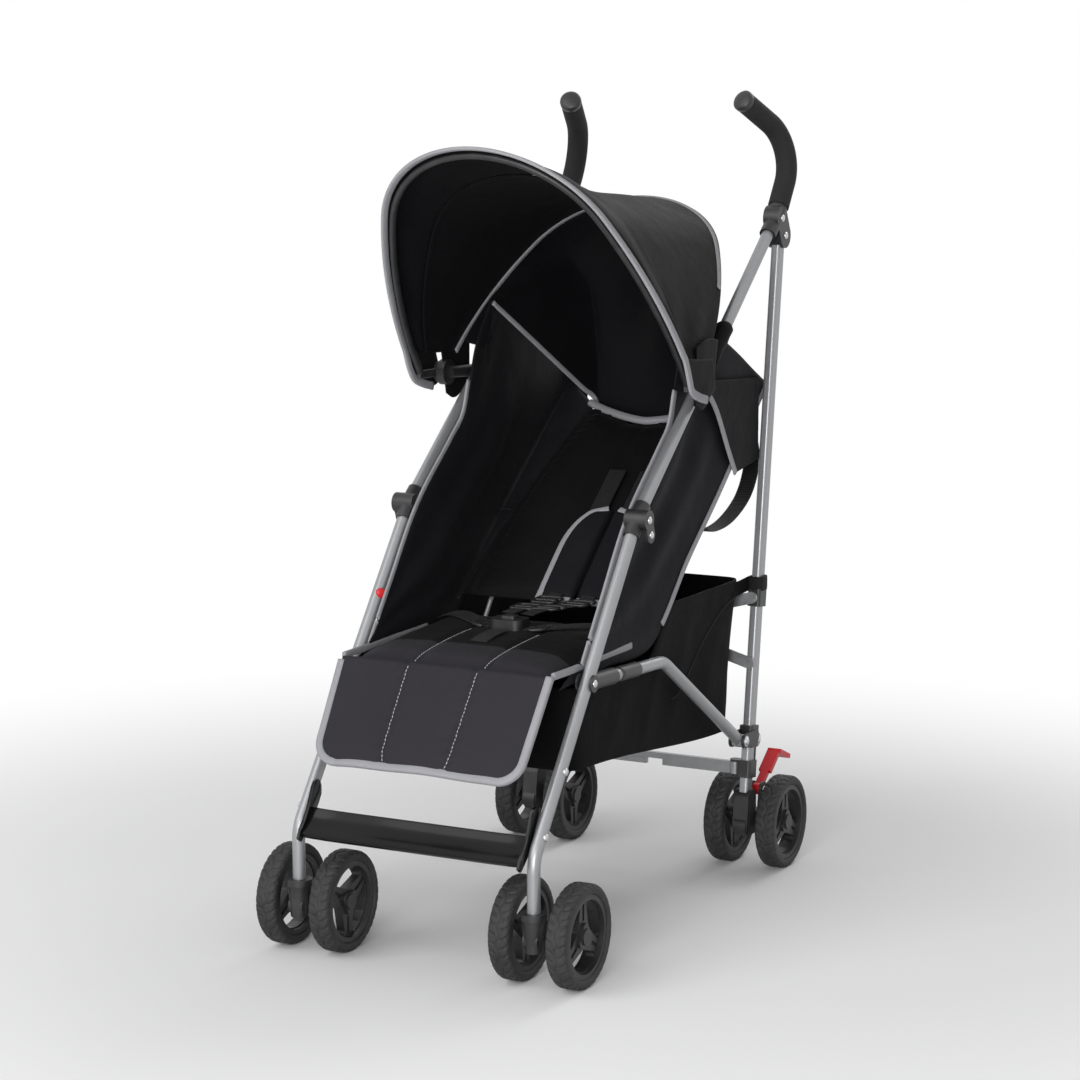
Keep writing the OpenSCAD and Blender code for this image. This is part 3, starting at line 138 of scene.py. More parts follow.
floor_mesh = bpy.data.meshes.new("floor")
floor_mesh.from_pydata([(-20, -20, 0), (20, -20, 0), (20, 20, 0), (-20, 20, 0)], [], [(0, 1, 2, 3)])
floor = bpy.data.objects.new("floor", floor_mesh)
bpy.context.scene.collection.objects.link(floor)
floor_paint = Finish("floor_paint", roughness=0.9, specular_ior_level=0.0)
floor_dark, floor_light = (0.90, 0.90, 0.91), (0.93, 0.93, 0.93)
floor_paint.put("Base Color", floor_paint.between(floor_paint.noise(3.0), floor_dark, floor_light))
floor_spot = floor_paint.add("ShaderNodeTexCoord", out="Object")
floor_far = floor_paint.add("ShaderNodeVectorMath", {"operation": "LENGTH"}, {0: floor_spot}, out="Value")
floor_fade = floor_paint.add("ShaderNodeMapRange", {"interpolation_type": "SMOOTHSTEP"}, {
    "Value": floor_far, "From Min": 0.55, "From Max": 1.7})
ray_kinds = ("Camera", "Glossy", "Transmission")
by_eye, by_gloss, by_glass = (
    floor_paint.add("ShaderNodeLightPath", out=f"Is {kind} Ray") for kind in ray_kinds)
floor_seen = by_eye.math("MAXIMUM", by_eye.math("MAXIMUM", by_eye, by_gloss), by_glass)
floor_white = floor_paint.add("ShaderNodeEmission", None, {"Color": (1, 1, 1, 1), "Strength": 1.0})
floor_mix = floor_paint.add("ShaderNodeMixShader", None, {
    0: floor_seen * floor_fade, 1: Socket(floor_paint, floor_paint.shader.outputs[0]), 2: floor_white})
floor_paint.join(floor_paint.tree.nodes["Material Output"].inputs["Surface"], floor_mix)
floor_mesh.materials.append(floor_paint.material)

sky = bpy.data.worlds.new("studio_sky")
sky.use_nodes = True
sky_nodes, sky_links = sky.node_tree.nodes, sky.node_tree.links
lit, seen = sky_nodes["Background"], sky_nodes.new("ShaderNodeBackground")
for background, strength in ((lit, 0.37), (seen, 1.0)):
    background.inputs["Color"].default_value = (1, 1, 1, 1)
    background.inputs["Strength"].default_value = strength
ray, choose = sky_nodes.new("ShaderNodeLightPath"), sky_nodes.new("ShaderNodeMixShader")
either, any_of = sky_nodes.new("ShaderNodeMath"), sky_nodes.new("ShaderNodeMath")
either.operation = any_of.operation = "MAXIMUM"
for start, end in (
    (ray.outputs["Is Camera Ray"], either.inputs[0]),
    (ray.outputs["Is Glossy Ray"], either.inputs[1]),
    (either.outputs[0], any_of.inputs[0]),
    (ray.outputs["Is Transmission Ray"], any_of.inputs[1]),
    (any_of.outputs[0], choose.inputs[0]),
    (lit.outputs[0], choose.inputs[1]),
    (seen.outputs[0], choose.inputs[2]),
    (choose.outputs[0], sky_nodes["World Output"].inputs["Surface"]),
):
    sky_links.new(start, end)
bpy.context.scene.world = sky

lamp_target = np.array([0.0, 0.0, 0.5])
for lamp_name, lamp_place, lamp_size, lamp_power in (
    ("key_lamp", (-1.4, -3.2, 3.0), 2.8, 64.0),
    ("fill_lamp", (1.2, -4.0, 1.1), 2.0, 112.0),
    ("back_lamp", (0.6, 3.2, 3.0), 2.0, 40.0),
):
    lamp_data = bpy.data.lights.new(lamp_name, "AREA")
    lamp_data.size, lamp_data.energy = lamp_size, lamp_power
    lamp = bpy.data.objects.new(lamp_name, lamp_data)
    toward = lamp_target - np.array(lamp_place)
    toward = toward / np.linalg.norm(toward)
    across = np.cross(toward, [0, 0, 1])
    across = across / np.linalg.norm(across)
    lamp.matrix_world = Matrix.Translation(lamp_place) @ Matrix(
        np.column_stack([across, np.cross(across, toward), -toward]).tolist()
    ).to_4x4()
    bpy.context.scene.collection.objects.link(lamp)

# Frame tubes: round steel tubes for the push tubes, front legs and seat tubes, flat oval rear legs and
# flat steel braces, all powder coated in silver grey with a fine metallic fleck and a slight orange peel.
paint_dark, paint_light = (0.245, 0.25, 0.26), (0.36, 0.365, 0.375)


def dress(finish, *names):
    """Gives CAD nodes a finish; a name without a side stands for the left and the right one."""
    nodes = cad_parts
    for name in names:
        for whole in (name, name + "_left", name + "_right"):
            if whole in nodes:
                for place in nodes[whole].material_slots:
                    place.material = finish.material


def mottled(name, patches, dark, light, rough, **constants):
    """A finish whose colour, from dark to light, and roughness follow one noise of slow patches."""
    finish = Finish(name, **constants)
    share = finish.noise(*patches)
    finish.put("Base Color", finish.between(share, dark, light))
    finish.put("Roughness", rough[0] + rough[1] * share)
    return finish


silver_paint = Finish("silver_paint", metallic=0.55, ior=1.45)
fleck = silver_paint.noise(2600.0, 1.0)
patch = silver_paint.noise(22.0, 3.0)
silver_paint.put("Base Color", silver_paint.between(fleck * 0.55 + patch * 0.45, paint_dark, paint_light))
silver_paint.put("Roughness", 0.30 + 0.14 * patch)
silver_paint.relief(silver_paint.noise(420.0, 2.0), 0.0002, 0.35)
dress(silver_paint, "push_tube", "front_leg", "rear_leg", "seat_tube")

brace_dark, brace_light = (0.26, 0.265, 0.275), (0.38, 0.385, 0.395)
brace_steel = mottled("brace_steel", (60.0, 5.0), brace_dark, brace_light, (0.28, 0.2),
                      metallic=0.7, ior=1.45)
brace_steel.relief(brace_steel.noise(300.0, 3.0), 0.0002, 0.3)
dress(brace_steel, "cross_bar_front", "cross_bar_back", "lock_link")

# Joint pieces: glass-filled nylon mouldings in black, with a fine sparked texture from the mould and
# paler rubbed marks. They hold the tubes' ends, the canopy's pivots, the casters and the rear axles.
joint_plastic = Finish("joint_plastic", ior=1.5)
rub = joint_plastic.noise(45.0, 6.0)
spark = joint_plastic.noise(1500.0, 2.0)
nylon_black, nylon_rubbed = (0.010, 0.010, 0.011), (0.055, 0.055, 0.058)
joint_plastic.put("Base Color", joint_plastic.between(rub ** 3.0, nylon_black, nylon_rubbed))
joint_plastic.put("Roughness", 0.36 + 0.16 * rub)
joint_plastic.relief(spark, 0.0002, 0.4)
dress(
    joint_plastic, "mid_hinge", "top_bracket", "seat_socket", "leg_bracket", "caster_fork", "axle_block",
    "canopy_clip", "brace_slider", "buckle"
)
button_dark, button_light = (0.022, 0.022, 0.024), (0.045, 0.045, 0.048)
button_plastic = mottled("button_plastic", (80.0, 4.0), button_dark, button_light, (0.3, 0.2), ior=1.5)
dress(button_plastic, "buckle_button")

# Rivets: bright steel dome heads, some on a washer, that hold the hinges, brackets, seat sockets and
# footrest. Each head is pressed up tight on the face under it.
mm, layout_shift = 0.001, np.array([0.0, -22.0, 0.0])
tube_x = 164.0
hinge_at, leg_lean = np.array([-78.21, 533.0]), np.radians(36.5)
push_top, rear_top = np.array([353.87, 893.0]), np.array([365.87, 869.0])
swivel_y, leg_bend_z, socket_z = -352.0, 163.0, 350.0


def surface(name, grid, wrap=False, caps=False, sharp=None):
    """Mesh of a grid of points, in layout millimetres, or of several grids of one size.

    Quads join neighbours along rows and columns. With wrap each row closes into a ring, and with caps
    one face closes the first and the last ring. The UV map holds lengths along both ways, in metres.
    """
    grid = np.asarray(grid, float)
    grid = grid[None] if grid.ndim == 3 else grid
    count, rows, cols = grid.shape[:3]
    points = (grid.reshape(-1, 3) + layout_shift) * mm
    spans = count, rows - 1, cols if wrap else cols - 1
    k, i, j = np.meshgrid(*(np.arange(span) for span in spans), indexing="ij")
    base, beside = k * rows * cols, (j + 1) % cols
    quads = np.stack([base + i * cols + j, base + i * cols + beside,
                      base + (i + 1) * cols + beside, base + (i + 1) * cols + j], -1).reshape(-1, 4)
    whole = np.concatenate([grid, grid[:, :, :1]], 2) if wrap else grid
    along = np.zeros(whole.shape[:3])
    along[:, :, 1:] = np.cumsum(np.linalg.norm(np.diff(whole, axis=2), axis=3), 2)
    down = np.zeros(whole.shape[:3])
    down[:, 1:] = np.cumsum(np.linalg.norm(np.diff(whole, axis=1), axis=3), 1)
    if not wrap:
        along = along - along[:, :, cols // 2:cols // 2 + 1]
    flat = np.stack([along, down], -1) * mm
    corners = np.stack([flat[k, i, j], flat[k, i, j + 1], flat[k, i + 1, j + 1], flat[k, i + 1, j]], 3)
    faces, spots = quads.tolist(), corners.reshape(-1, 2)
    if caps:
        ring = np.arange(cols)
        for start in np.arange(count) * rows * cols:
            faces += [(start + ring[::-1]).tolist(), (start + (rows - 1) * cols + ring).tolist()]
        ends = np.concatenate([flat[:, 0, :cols][:, ::-1], flat[:, -1, :cols]], 1)
        spots = np.concatenate([spots, ends.reshape(-1, 2)])
    mesh = bpy.data.meshes.new(name)
    mesh.from_pydata(points.tolist(), [], faces)
    mesh.uv_layers.new(name="cloth")
    mesh.uv_layers["cloth"].data.foreach_set("uv", spots.astype(np.float32).ravel())
    if wrap:
        work = bmesh.new()
        work.from_mesh(mesh)
        bmesh.ops.remove_doubles(work, verts=work.verts, dist=1e-6)
        bmesh.ops.recalc_face_normals(work, faces=work.faces)
        work.to_mesh(mesh)
        work.free()
    mesh.polygons.foreach_set("use_smooth", [True] * len(mesh.polygons))
    if sharp:
        mesh.set_sharp_from_angle(angle=np.radians(sharp))
    piece = bpy.data.objects.new(name, mesh)
    bpy.context.scene.collection.objects.link(piece)
    return piece


def turned(profile, centre, axis, sides=20):
    """Grid of a profile of (radius, height) rows turned about an axis through a centre."""
    axis = np.asarray(axis, float) / np.linalg.norm(axis)
    first = np.cross(axis, [0.3, 0.5, 0.81])
    first = first / np.linalg.norm(first)
    second = np.cross(axis, first)
    turn = np.linspace(0, 2 * np.pi, sides, endpoint=False)
    ring = np.cos(turn)[:, None] * first + np.sin(turn)[:, None] * second
    profile = np.asarray(profile, float)
    return np.asarray(centre, float) + profile[:, :1, None] * ring + profile[:, 1:, None] * axis


def mirrored(grid):
    """The same points on the other side of the stroller."""
    return np.asarray(grid, float) * np.array([-1.0, 1.0, 1.0])


def clad(piece, finish):
    """Gives a piece its finish."""
    piece.data.materials.append(finish.material)


def on_each_side(name, grid, finish, slot, **form):
    """A piece that rides on the left side of the frame, and its mirror image on the right side."""
    for half, body, place in (("left", "frame", grid), ("right", "right_frame", mirrored(grid))):
        piece = surface(f"{name}_{half}", place, **form)
        clad(piece, finish)
        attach(piece, body)


def on_front_leg(height):
    """Depth of the front leg's axis at a height: a straight line up from its lower bend."""
    return swivel_y + (height - leg_bend_z) * np.tan(leg_lean)


rivet_profile = [(5.0, -1.0), (5.0, 0.4), (4.6, 1.2), (3.4, 2.0), (1.8, 2.45), (0.2, 2.6)]
washer_profile = [
    (7.6, -1.0), (7.6, 0.6), (7.0, 1.0), (5.2, 1.05), (5.0, 1.9), (3.8, 2.8), (2.0, 3.3), (0.2, 3.4)
]
rivet_dark, rivet_light = (0.42, 0.42, 0.43), (0.66, 0.66, 0.67)
rivet_steel = mottled("rivet_steel", (240.0, 4.0), rivet_dark, rivet_light, (0.22, 0.22), metallic=1.0)
outward = (1, 0, 0)
plain_places = [
    (182.6, *hinge_at), (181.6, *(hinge_at + [7.8, -19.5])), (175.0, *push_top), (175.0, *rear_top),
    (171.6, on_front_leg(186.0), 186.0), (171.6, on_front_leg(255.0), 255.0),
    (174.8, on_front_leg(socket_z), socket_z), (173.9, 316.0, 104.0),
]
washer_places = [(170.7, 299.6, 178.0), (175.2, 249.2, 186.0)]
plain_rivets = np.array([turned(rivet_profile, place, outward, 14) for place in plain_places])
washer_rivets = np.array([turned(washer_profile, place, outward, 18) for place in washer_places])
for kind, heads in (("rivets", plain_rivets), ("washer_rivets", washer_rivets)):
    on_each_side(kind, heads, rivet_steel, "brace_metal", wrap=True, caps=True, sharp=40)

# Grips: closed-cell foam tube pushed over the handle's spigot and bent forward with it, with a round
# rubber end cap. The foam is matt, with fine pores and slight bumps along its length.
foam = Finish("grip_foam", roughness=0.86, specular_ior_level=0.3)
pores = foam.add("ShaderNodeTexVoronoi", None, {
    "Vector": foam.add("ShaderNodeTexCoord", out="Object"), "Scale": 700.0})
swell = foam.noise(35.0, 3.0)
foam_dark, foam_light = (0.008, 0.008, 0.0085), (0.026, 0.026, 0.027)
foam.put("Base Color", foam.between(swell * 0.6 + pores * 0.4, foam_dark, foam_light))
foam.relief(pores * 0.5 + swell, 0.0006, 0.5)
dress(foam, "grip")
grip_lean, grip_rise, grip_toe = np.radians([34.0, 29.0, 18.0])
grip_upright, grip_long = 118.0, 124.0
grip_up = np.array([0, np.sin(grip_lean), np.cos(grip_lean)])
grip_corner = np.array([tube_x, *push_top]) + grip_upright * grip_up
grip_forward = np.array([
    -np.sin(grip_toe) * np.cos(grip_rise), -np.cos(grip_toe) * np.cos(grip_rise), np.sin(grip_rise)
])
cap_profile = [
    (14.5, -6.0), (14.9, -5.4), (15.0, -0.5), (14.6, 1.6), (13.0, 3.4), (10.0, 4.8), (5.0, 5.7), (0.2, 6.0)
]
cap_grid = turned(cap_profile, grip_corner + grip_long * grip_forward, grip_forward, 36)
on_each_side("grip_cap", cap_grid, joint_plastic, "grip_foam", wrap=True, caps=True)

# Wheels: eight injection-moulded rims with three forked spokes, each with a solid foam-rubber tyre. The
# tread has a wavy groove round the middle and curved bars that run out over both shoulders.
axle_y, axle_z, wheel_gauge = 310.0, 64.0, 77.0
tyre_r, tyre_half, tyre_seat, shoulder_r = 64.0, 14.0, 51.15, 5.78
tread_bars, tread_deep, tread_cols = 34, 1.5, 408
rim_dark, rim_light = (0.011, 0.011, 0.012), (0.026, 0.026, 0.028)
rim_plastic = mottled("rim_plastic", (30.0, 4.0), rim_dark, rim_light, (0.34, 0.2), ior=1.5)
rim_plastic.relief(rim_plastic.noise(900.0, 2.0), 0.00015, 0.4)
rubber = Finish("tyre_rubber", specular_ior_level=0.4)
dust, crumb = rubber.noise(55.0, 6.0), rubber.noise(1300.0, 2.0)
rubber.put("Base Color", rubber.between(dust ** 2.0, (0.012, 0.012, 0.0125), (0.050, 0.049, 0.048)))
rubber.put("Roughness", 0.55 + 0.25 * dust)
rubber.relief(crumb, 0.0003, 0.4)


def smooth(t):
    """Smooth step from 0 to 1: t * t * (3 - 2 t), held at both ends."""
    t = np.clip(t, 0.0, 1.0)
    return t * t * (3 - 2 * t)


def tyre_grid(centre_x, centre_y):
    """Tyre as rows round its section and columns round the axle.

    The section is a rectangle with round shoulders. Grooves cut into it are one wave round the middle and
    bars whose phase runs forward with the distance from the middle, so they curve out over the shoulders.
    """
    arc = np.linspace(0, np.pi / 2, 9)
    crown = np.linspace(shoulder_r - tyre_half, tyre_half - shoulder_r, 15)[1:-1]
    inner_r = tyre_seat + 0.3
    width = np.concatenate([
        [-tyre_half + 1.5, -tyre_half], -tyre_half + shoulder_r - shoulder_r * np.cos(arc), crown,
        tyre_half - shoulder_r + shoulder_r * np.sin(arc), [tyre_half, tyre_half - 1.5]
    ])
    radius = np.concatenate([
        [inner_r, inner_r + 0.8], tyre_r - shoulder_r + shoulder_r * np.sin(arc), np.full(len(crown), tyre_r),
        tyre_r - shoulder_r + shoulder_r * np.cos(arc), [inner_r + 0.8, inner_r]
    ])
    out_w = np.concatenate([[0, 0], -np.cos(arc), np.zeros(len(crown)), np.sin(arc), [0, 0]])
    out_r = np.concatenate([[0, 0], np.sin(arc), np.ones(len(crown)), np.cos(arc), [0, 0]])
    turn = np.linspace(0, 2 * np.pi, tread_cols, endpoint=False)
    step = turn[None, :] * tread_bars / (2 * np.pi)
    across = width[:, None] / tyre_half
    bar = np.abs((step + 0.55 * np.abs(across) ** 1.5 + np.where(across > 0, 0.5, 0.0)) % 1.0 - 0.5)
    wave = np.abs(across - 0.16 * np.sin(2 * np.pi * step / 2))
    reach = smooth((np.abs(across) - 0.22) / 0.08) * (out_r[:, None] + np.abs(out_w[:, None]) > 0.1)
    reach = reach * smooth((out_r[:, None] - 0.2) / 0.2)
    middle = smooth((0.10 - wave) / 0.05) * (out_r[:, None] > 0.9)
    groove = np.maximum(smooth((0.17 - bar) / 0.07) * reach, middle)
    x = centre_x + width[:, None] - tread_deep * groove * out_w[:, None]
    r = radius[:, None] - tread_deep * groove * out_r[:, None]
    rows = np.stack([np.broadcast_to(x, r.shape), centre_y + r * np.cos(turn), axle_z + r * np.sin(turn)], -1)
    return np.concatenate([rows, rows[:1]])


for end, end_y in (("front", -axle_y), ("rear", axle_y)):
    for half, side in (("left", 1), ("right", -1)):
        for pair, out in (("outer", 1), ("inner", -1)):
            wheel = f"{end}_{half}_{pair}"
            tyre_x = side * (tube_x + out * wheel_gauge / 2)
            tyre = surface(f"tread_{wheel}", tyre_grid(tyre_x, end_y), wrap=True)
            clad(tyre, rubber)
            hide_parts(f"tyre_{wheel}")
            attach(tyre, f"wheel_{wheel}")
            dress(rim_plastic, f"rim_{wheel}")

# Brake levers: red acetal mouldings behind each rear wheel pair, glossy with a slight grain from the
# mould. The fold latch, a small round button on the right front leg, is of the same plastic.
red_dark, red_light = (0.50, 0.006, 0.012), (0.62, 0.014, 0.022)
brake_red = mottled("brake_red", (70.0, 4.0), red_dark, red_light, (0.28, 0.2), ior=1.48)
brake_red.relief(brake_red.noise(800.0, 2.0), 0.00015, 0.3)
dress(brake_red, "brake_lever")

latch_profile, latch_z = [(6.6, -3.0), (6.6, 2.6), (6.0, 3.6), (4.6, 4.2), (0.2, 4.4)], 427.0
latch_at, latch_way = (-tube_x + 6.0, on_front_leg(latch_z) - 4.0, latch_z), (0.8, -0.6, 0.0)
latch_grid = turned(latch_profile, latch_at, latch_way, 24)
latch = surface("fold_latch", latch_grid, wrap=True, caps=True, sharp=50)
clad(latch, brake_red)
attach(latch, "right_frame")

# Footrest: one glossy black moulding across the front legs, with a shallow dish, a rolled front lip and
# an upstand riveted to the inside of each leg.
board_half, board_tilt = 155.4, np.radians(42.0)
board_rear = np.array([-336.0, 185.0])
gloss_dark, gloss_light = (0.003, 0.003, 0.0033), (0.007, 0.007, 0.0075)
gloss_plastic = mottled("footrest_plastic", (14.0, 4.0), gloss_dark, gloss_light, (0.10, 0.16),
                        specular_ior_level=0.16, coat_weight=0.12, coat_roughness=0.05)
gloss_plastic.relief(gloss_plastic.noise(9.0, 2.0), 0.003, 0.25)
slope = np.array([-np.cos(board_tilt), -np.sin(board_tilt)])
rise_of = np.array([-np.sin(board_tilt), np.cos(board_tilt)])
section = np.array([  # (distance forward, height) round the board's section
    (0, 0.2), (3, 0), (10, -1.2), (20, -1.8), (30, -1.4), (36, -0.4), (39, -0.6), (40, -2.2), (40, -8),
    (39, -9.6), (37, -9.6), (36, -8), (35.6, -5.6), (30, -5.4), (20, -5.6), (10, -5.4), (3, -5), (0, -4.6),
    (-1, -3.4), (-1, -1)
])
reach = np.linspace(-board_half + 4.0, board_half - 4.0, 41)
curl = (np.abs(reach) / board_half) ** 10
board = np.zeros((len(reach), len(section), 3))
board[:, :, 0] = reach[:, None]
board[:, :, 1:] = (board_rear + section[:, :1] * slope)[None] + (
    section[None, :, 1:] + 2.5 * curl[:, None, None]) * rise_of
footboard = surface("footboard", board, wrap=True, caps=True, sharp=50)
ear_outline = np.array([
    (-372, 154), (-366, 149), (-352, 161), (-338, 174), (-331, 182), (-324, 190), (-318, 200), (-318, 210),
    (-321, 217), (-327, 219.5), (-333, 218), (-337, 212), (-342, 200), (-349, 186), (-358, 173), (-368, 163)
])
ear_mid = ear_outline.mean(0)
ear_rings = []
for inset, offset in ((0.9, 0.0), (1.0, 0.8), (1.0, 4.2), (0.92, 5.0), (0.02, 5.0)):
    ring = ear_mid + (ear_outline - ear_mid) * inset
    ear_rings.append(np.column_stack([np.full(len(ring), board_half - 5.0 + offset), ring]))


def paired(grid):
    """The left points and their mirror image, as one set of two grids."""
    return np.array([grid, mirrored(grid)])


ears = surface("footrest_ears", paired(np.array(ear_rings)), wrap=True, caps=True, sharp=35)
for piece in (footboard, ears):
    clad(piece, gloss_plastic)
    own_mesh(piece)
    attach(piece, "frame")
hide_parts("footrest")

# Seat tube sleeves: black soft sleeves pushed over the front end of each seat tube, behind its socket.
# They are plain extruded tube with rounded ends.
tube_run = np.array([0.0, 216.0, -11.0]) / np.hypot(216.0, 11.0)
sleeve_foot = np.array([tube_x, on_front_leg(socket_z), socket_z]) + tube_run * 84.0
cuff_profile = [
    (8.3, 0.0), (9.2, 0.6), (9.7, 2.0), (9.8, 8.0), (9.6, 28.0), (9.8, 50.0), (9.5, 53.0), (8.3, 54.0)
]
cuff_grid = turned(cuff_profile, sleeve_foot, tube_run, 32)
on_each_side("seat_tube_sleeve", cuff_grid, joint_plastic, "joint_plastic", wrap=True, caps=True, sharp=50)

# Basket: a tub of black woven polyester hung under the seat from the tubes, high at the back and low in
# front, with a bound rim, a loop round each rear leg and a curved seam on each side.
basket_front, basket_rear, basket_half = -222.0, 282.0, 151.3
rim_low, rim_high, floor_low, floor_rise = 336.0, 402.0, 194.0, 38.0


def weave(cloth, place, pitch, creases, shades, dark, light, rough, drape):
    """Yarns over and under, as the product of two sines of the place, with creases (their hollows painted
    darker as shade), slow shades and drape.
    """
    spot = cloth.add("ShaderNodeSeparateXYZ", None, {0: place})
    warp, weft = (Socket(cloth, spot.out.node.outputs[k]) * (np.pi / pitch) for k in (0, 1))
    yarn = warp.math("SINE", warp) * weft.math("SINE", weft)
    crease, shade = cloth.noise(creases, 4.0), cloth.noise(shades, 3.0)
    # The crease noise that raises the bump also lightens the colour: painted shade, darker in the creases'
    # hollows and lighter on their ridges.
    cloth.put("Base Color", cloth.between(shade * 0.6 + yarn * 0.12 + crease * 0.3, dark, light))
    cloth.put("Roughness", rough - 0.08 + 0.16 * crease)
    cloth.relief(cloth.noise(7.0, 1.0) * drape + crease * 3.0 + yarn * 0.10, 0.0011, 0.6)


cloth_gloss = {"sheen_weight": 0.015, "sheen_roughness": 0.45, "specular_ior_level": 0.05}
yarn_pitch = 0.0011


def woven(name, dark, light, pitch=yarn_pitch, rough=0.6, drape=6.0):
    """Plain woven cloth, its yarns laid along the UV map."""
    cloth = Finish(name, **cloth_gloss)
    place = cloth.add("ShaderNodeUVMap", {"uv_map": "cloth"})
    weave(cloth, place, pitch, 26.0, 7.0, dark, light, rough, drape)
    return cloth


black_cloth = woven("black_cloth", (0.0058, 0.0054, 0.0067), (0.0165, 0.0157, 0.0186), drape=14.0)
basket_cloth = woven("basket_cloth", (0.0022, 0.0021, 0.0024), (0.0060, 0.0058, 0.0066), rough=0.72)


def basket_point(wall, angle):
    """Tub from the rim (wall 0) down to the floor (wall 1) and in to its middle (wall 2).

    Each level is a rectangle with small round corners, a superellipse of power 20 in polar form; the wall
    leans in, the floor rises to the front, sags in the middle, and slow waves crease the cloth.
    """
    wall, angle = np.broadcast_arrays(wall, angle)
    c, s = np.cos(angle), np.sin(angle)
    reach = (np.abs(c) ** 20 + np.abs(s) ** 20) ** (-1 / 20)
    box_x, box_y = c * reach, s * reach
    deep, inside = np.minimum(wall, 1.0), np.maximum(wall - 1.0, 0.0)
    size = (1.0 - 0.045 * deep ** 3) * (1.0 - inside)
    mid, half_y = (basket_rear + basket_front) / 2, (basket_rear - basket_front) / 2
    y = mid + (half_y * size - 22.7 * np.minimum(deep, 0.6) * smooth(s) * (1.0 - inside)) * box_y
    rim_z = rim_low + (rim_high - rim_low) * smooth((y + 20.0) / 90.0)
    floor_z = floor_low + floor_rise * smooth((basket_rear - y) / (2 * half_y))
    floor_z = floor_z + 9.0 * (1.0 - smooth(inside * 2.2)) * (wall >= 0.85) * 0.5
    crease = 2.4 * np.sin(np.pi * deep) * np.sin(9.0 * angle + 2.0 * deep) * (1.0 - inside)
    x = (basket_half * size - np.abs(crease) - 3.0 * np.sin(np.pi * deep)) * box_x
    return np.stack([x, y, rim_z + (floor_z - rim_z) * deep], -1)


def panel(name, grid, cloth, slot, thickness, **form):
    """A thin sheet of cloth: the surface of a grid, with its thickness half to each side."""
    piece = surface(name, grid, **form)
    clad(piece, cloth)
    wall = piece.modifiers.new("thickness", "SOLIDIFY")
    wall.thickness, wall.offset = thickness * mm, 0.0
    return piece


def tape(path, across, width, thick, sides=12, square=0.55):
    """Flat strip carried along a path: rings of a rounded oblong, width along across, thick along its normal.

    The normal is the path's direction crossed with across; cosine and sine to the power square round it.
    """
    path = np.asarray(path, float)
    way = np.gradient(path, axis=0)
    way = way / np.linalg.norm(way, axis=1, keepdims=True)
    across = np.broadcast_to(np.asarray(across, float), path.shape)
    across = across - way * (across * way).sum(1, keepdims=True)
    across = across / np.linalg.norm(across, axis=1, keepdims=True)
    normal = np.cross(way, across)
    turn = np.linspace(0, 2 * np.pi, sides, endpoint=False) + np.pi / sides
    c, s = np.cos(turn), np.sin(turn)
    wide, high = np.sign(c) * np.abs(c) ** square * width / 2, np.sign(s) * np.abs(s) ** square * thick / 2
    return path[:, None] + wide[None, :, None] * across[:, None] + high[None, :, None] * normal[:, None]


def even(points, count):
    """Smooth path through points: a Catmull-Rom curve, taken at count places of equal length."""
    p = np.asarray(points, float)
    p = np.vstack([2 * p[0] - p[1], p, 2 * p[-1] - p[-2]])
    t = np.linspace(0, 1, 24)[None, :, None]
    a, b, c, d = (p[k:len(p) - 3 + k, None] for k in range(4))
    square, cube = 2 * a - 5 * b + 4 * c - d, 3 * b - a - 3 * c + d
    fine = 0.5 * (2 * b + (c - a) * t + square * t ** 2 + cube * t ** 3)
    fine = fine.reshape(-1, p.shape[1])
    run = np.concatenate([[0], np.cumsum(np.linalg.norm(np.diff(fine, axis=0), axis=1))])
    want = np.linspace(0, run[-1], count)
    return np.stack([np.interp(want, run, fine[:, k]) for k in range(p.shape[1])], -1)


soft_anchor, soft_keep = (0.1523, 0.0, 0.4), 0.376


def gather(piece, body="frame", anchor=soft_anchor, keep=soft_keep):
    """A soft piece gets a mesh of its own and rides on a body."""
    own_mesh(piece)
    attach(piece, body)


def trim(name, grids, finish, slot, body="frame", anchor=soft_anchor, keep=soft_keep, caps=True, sharp=None):
    """A closed piece on the soft goods, which rides with them."""
    piece = surface(name, np.array(grids), wrap=True, caps=caps, sharp=sharp)
    clad(piece, finish)
    gather(piece, body, anchor, keep)
    return piece


tub_walls = np.concatenate([np.linspace(0, 0.85, 18), np.linspace(0.88, 1.0, 7), np.linspace(1.06, 1.96, 16)])
tub_angles = np.linspace(0, 2 * np.pi, 256, endpoint=False) + 0.012
tub_grid = basket_point(tub_walls[:, None], tub_angles[None])
tub = panel("basket_tub", tub_grid, basket_cloth, "basket_fabric", 1.6, wrap=True)
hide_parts("basket")

rim_path = basket_point(np.full(len(tub_angles) + 1, 0.02), np.append(tub_angles, tub_angles[0]))
rim_grid = tape(rim_path, (0, 0, 1), 16.0, 3.4)
rim_band = trim("basket_rim", rim_grid, basket_cloth, "basket_fabric", caps=False)
webbing = woven("webbing", (0.008, 0.008, 0.0085), (0.024, 0.024, 0.026), pitch=0.0024)
gather(tub)

seam_angle = np.linspace(0.14, 0.76, 40)
seam_wall = 0.10 + 0.55 * smooth((0.76 - seam_angle) / 0.62)
basket_seam = basket_point(seam_wall, seam_angle)
basket_seam[:, 0] += 1.4
seams = [tape(seam, (0, 0.5, 1), 2.6, 1.6, 8) for seam in paired(basket_seam)]
trim("basket_seams", seams, webbing, "basket_fabric")

leg_lean_rear, loop_z, tab_wide, tab_thick = np.radians(6.898), 396.0, 20.0, 2.4


def on_rear_leg(height):
    """Depth of the rear leg's axis at a height: a straight line up from its axle block."""
    return 268.0 + (height - 60.0) * np.tan(leg_lean_rear)


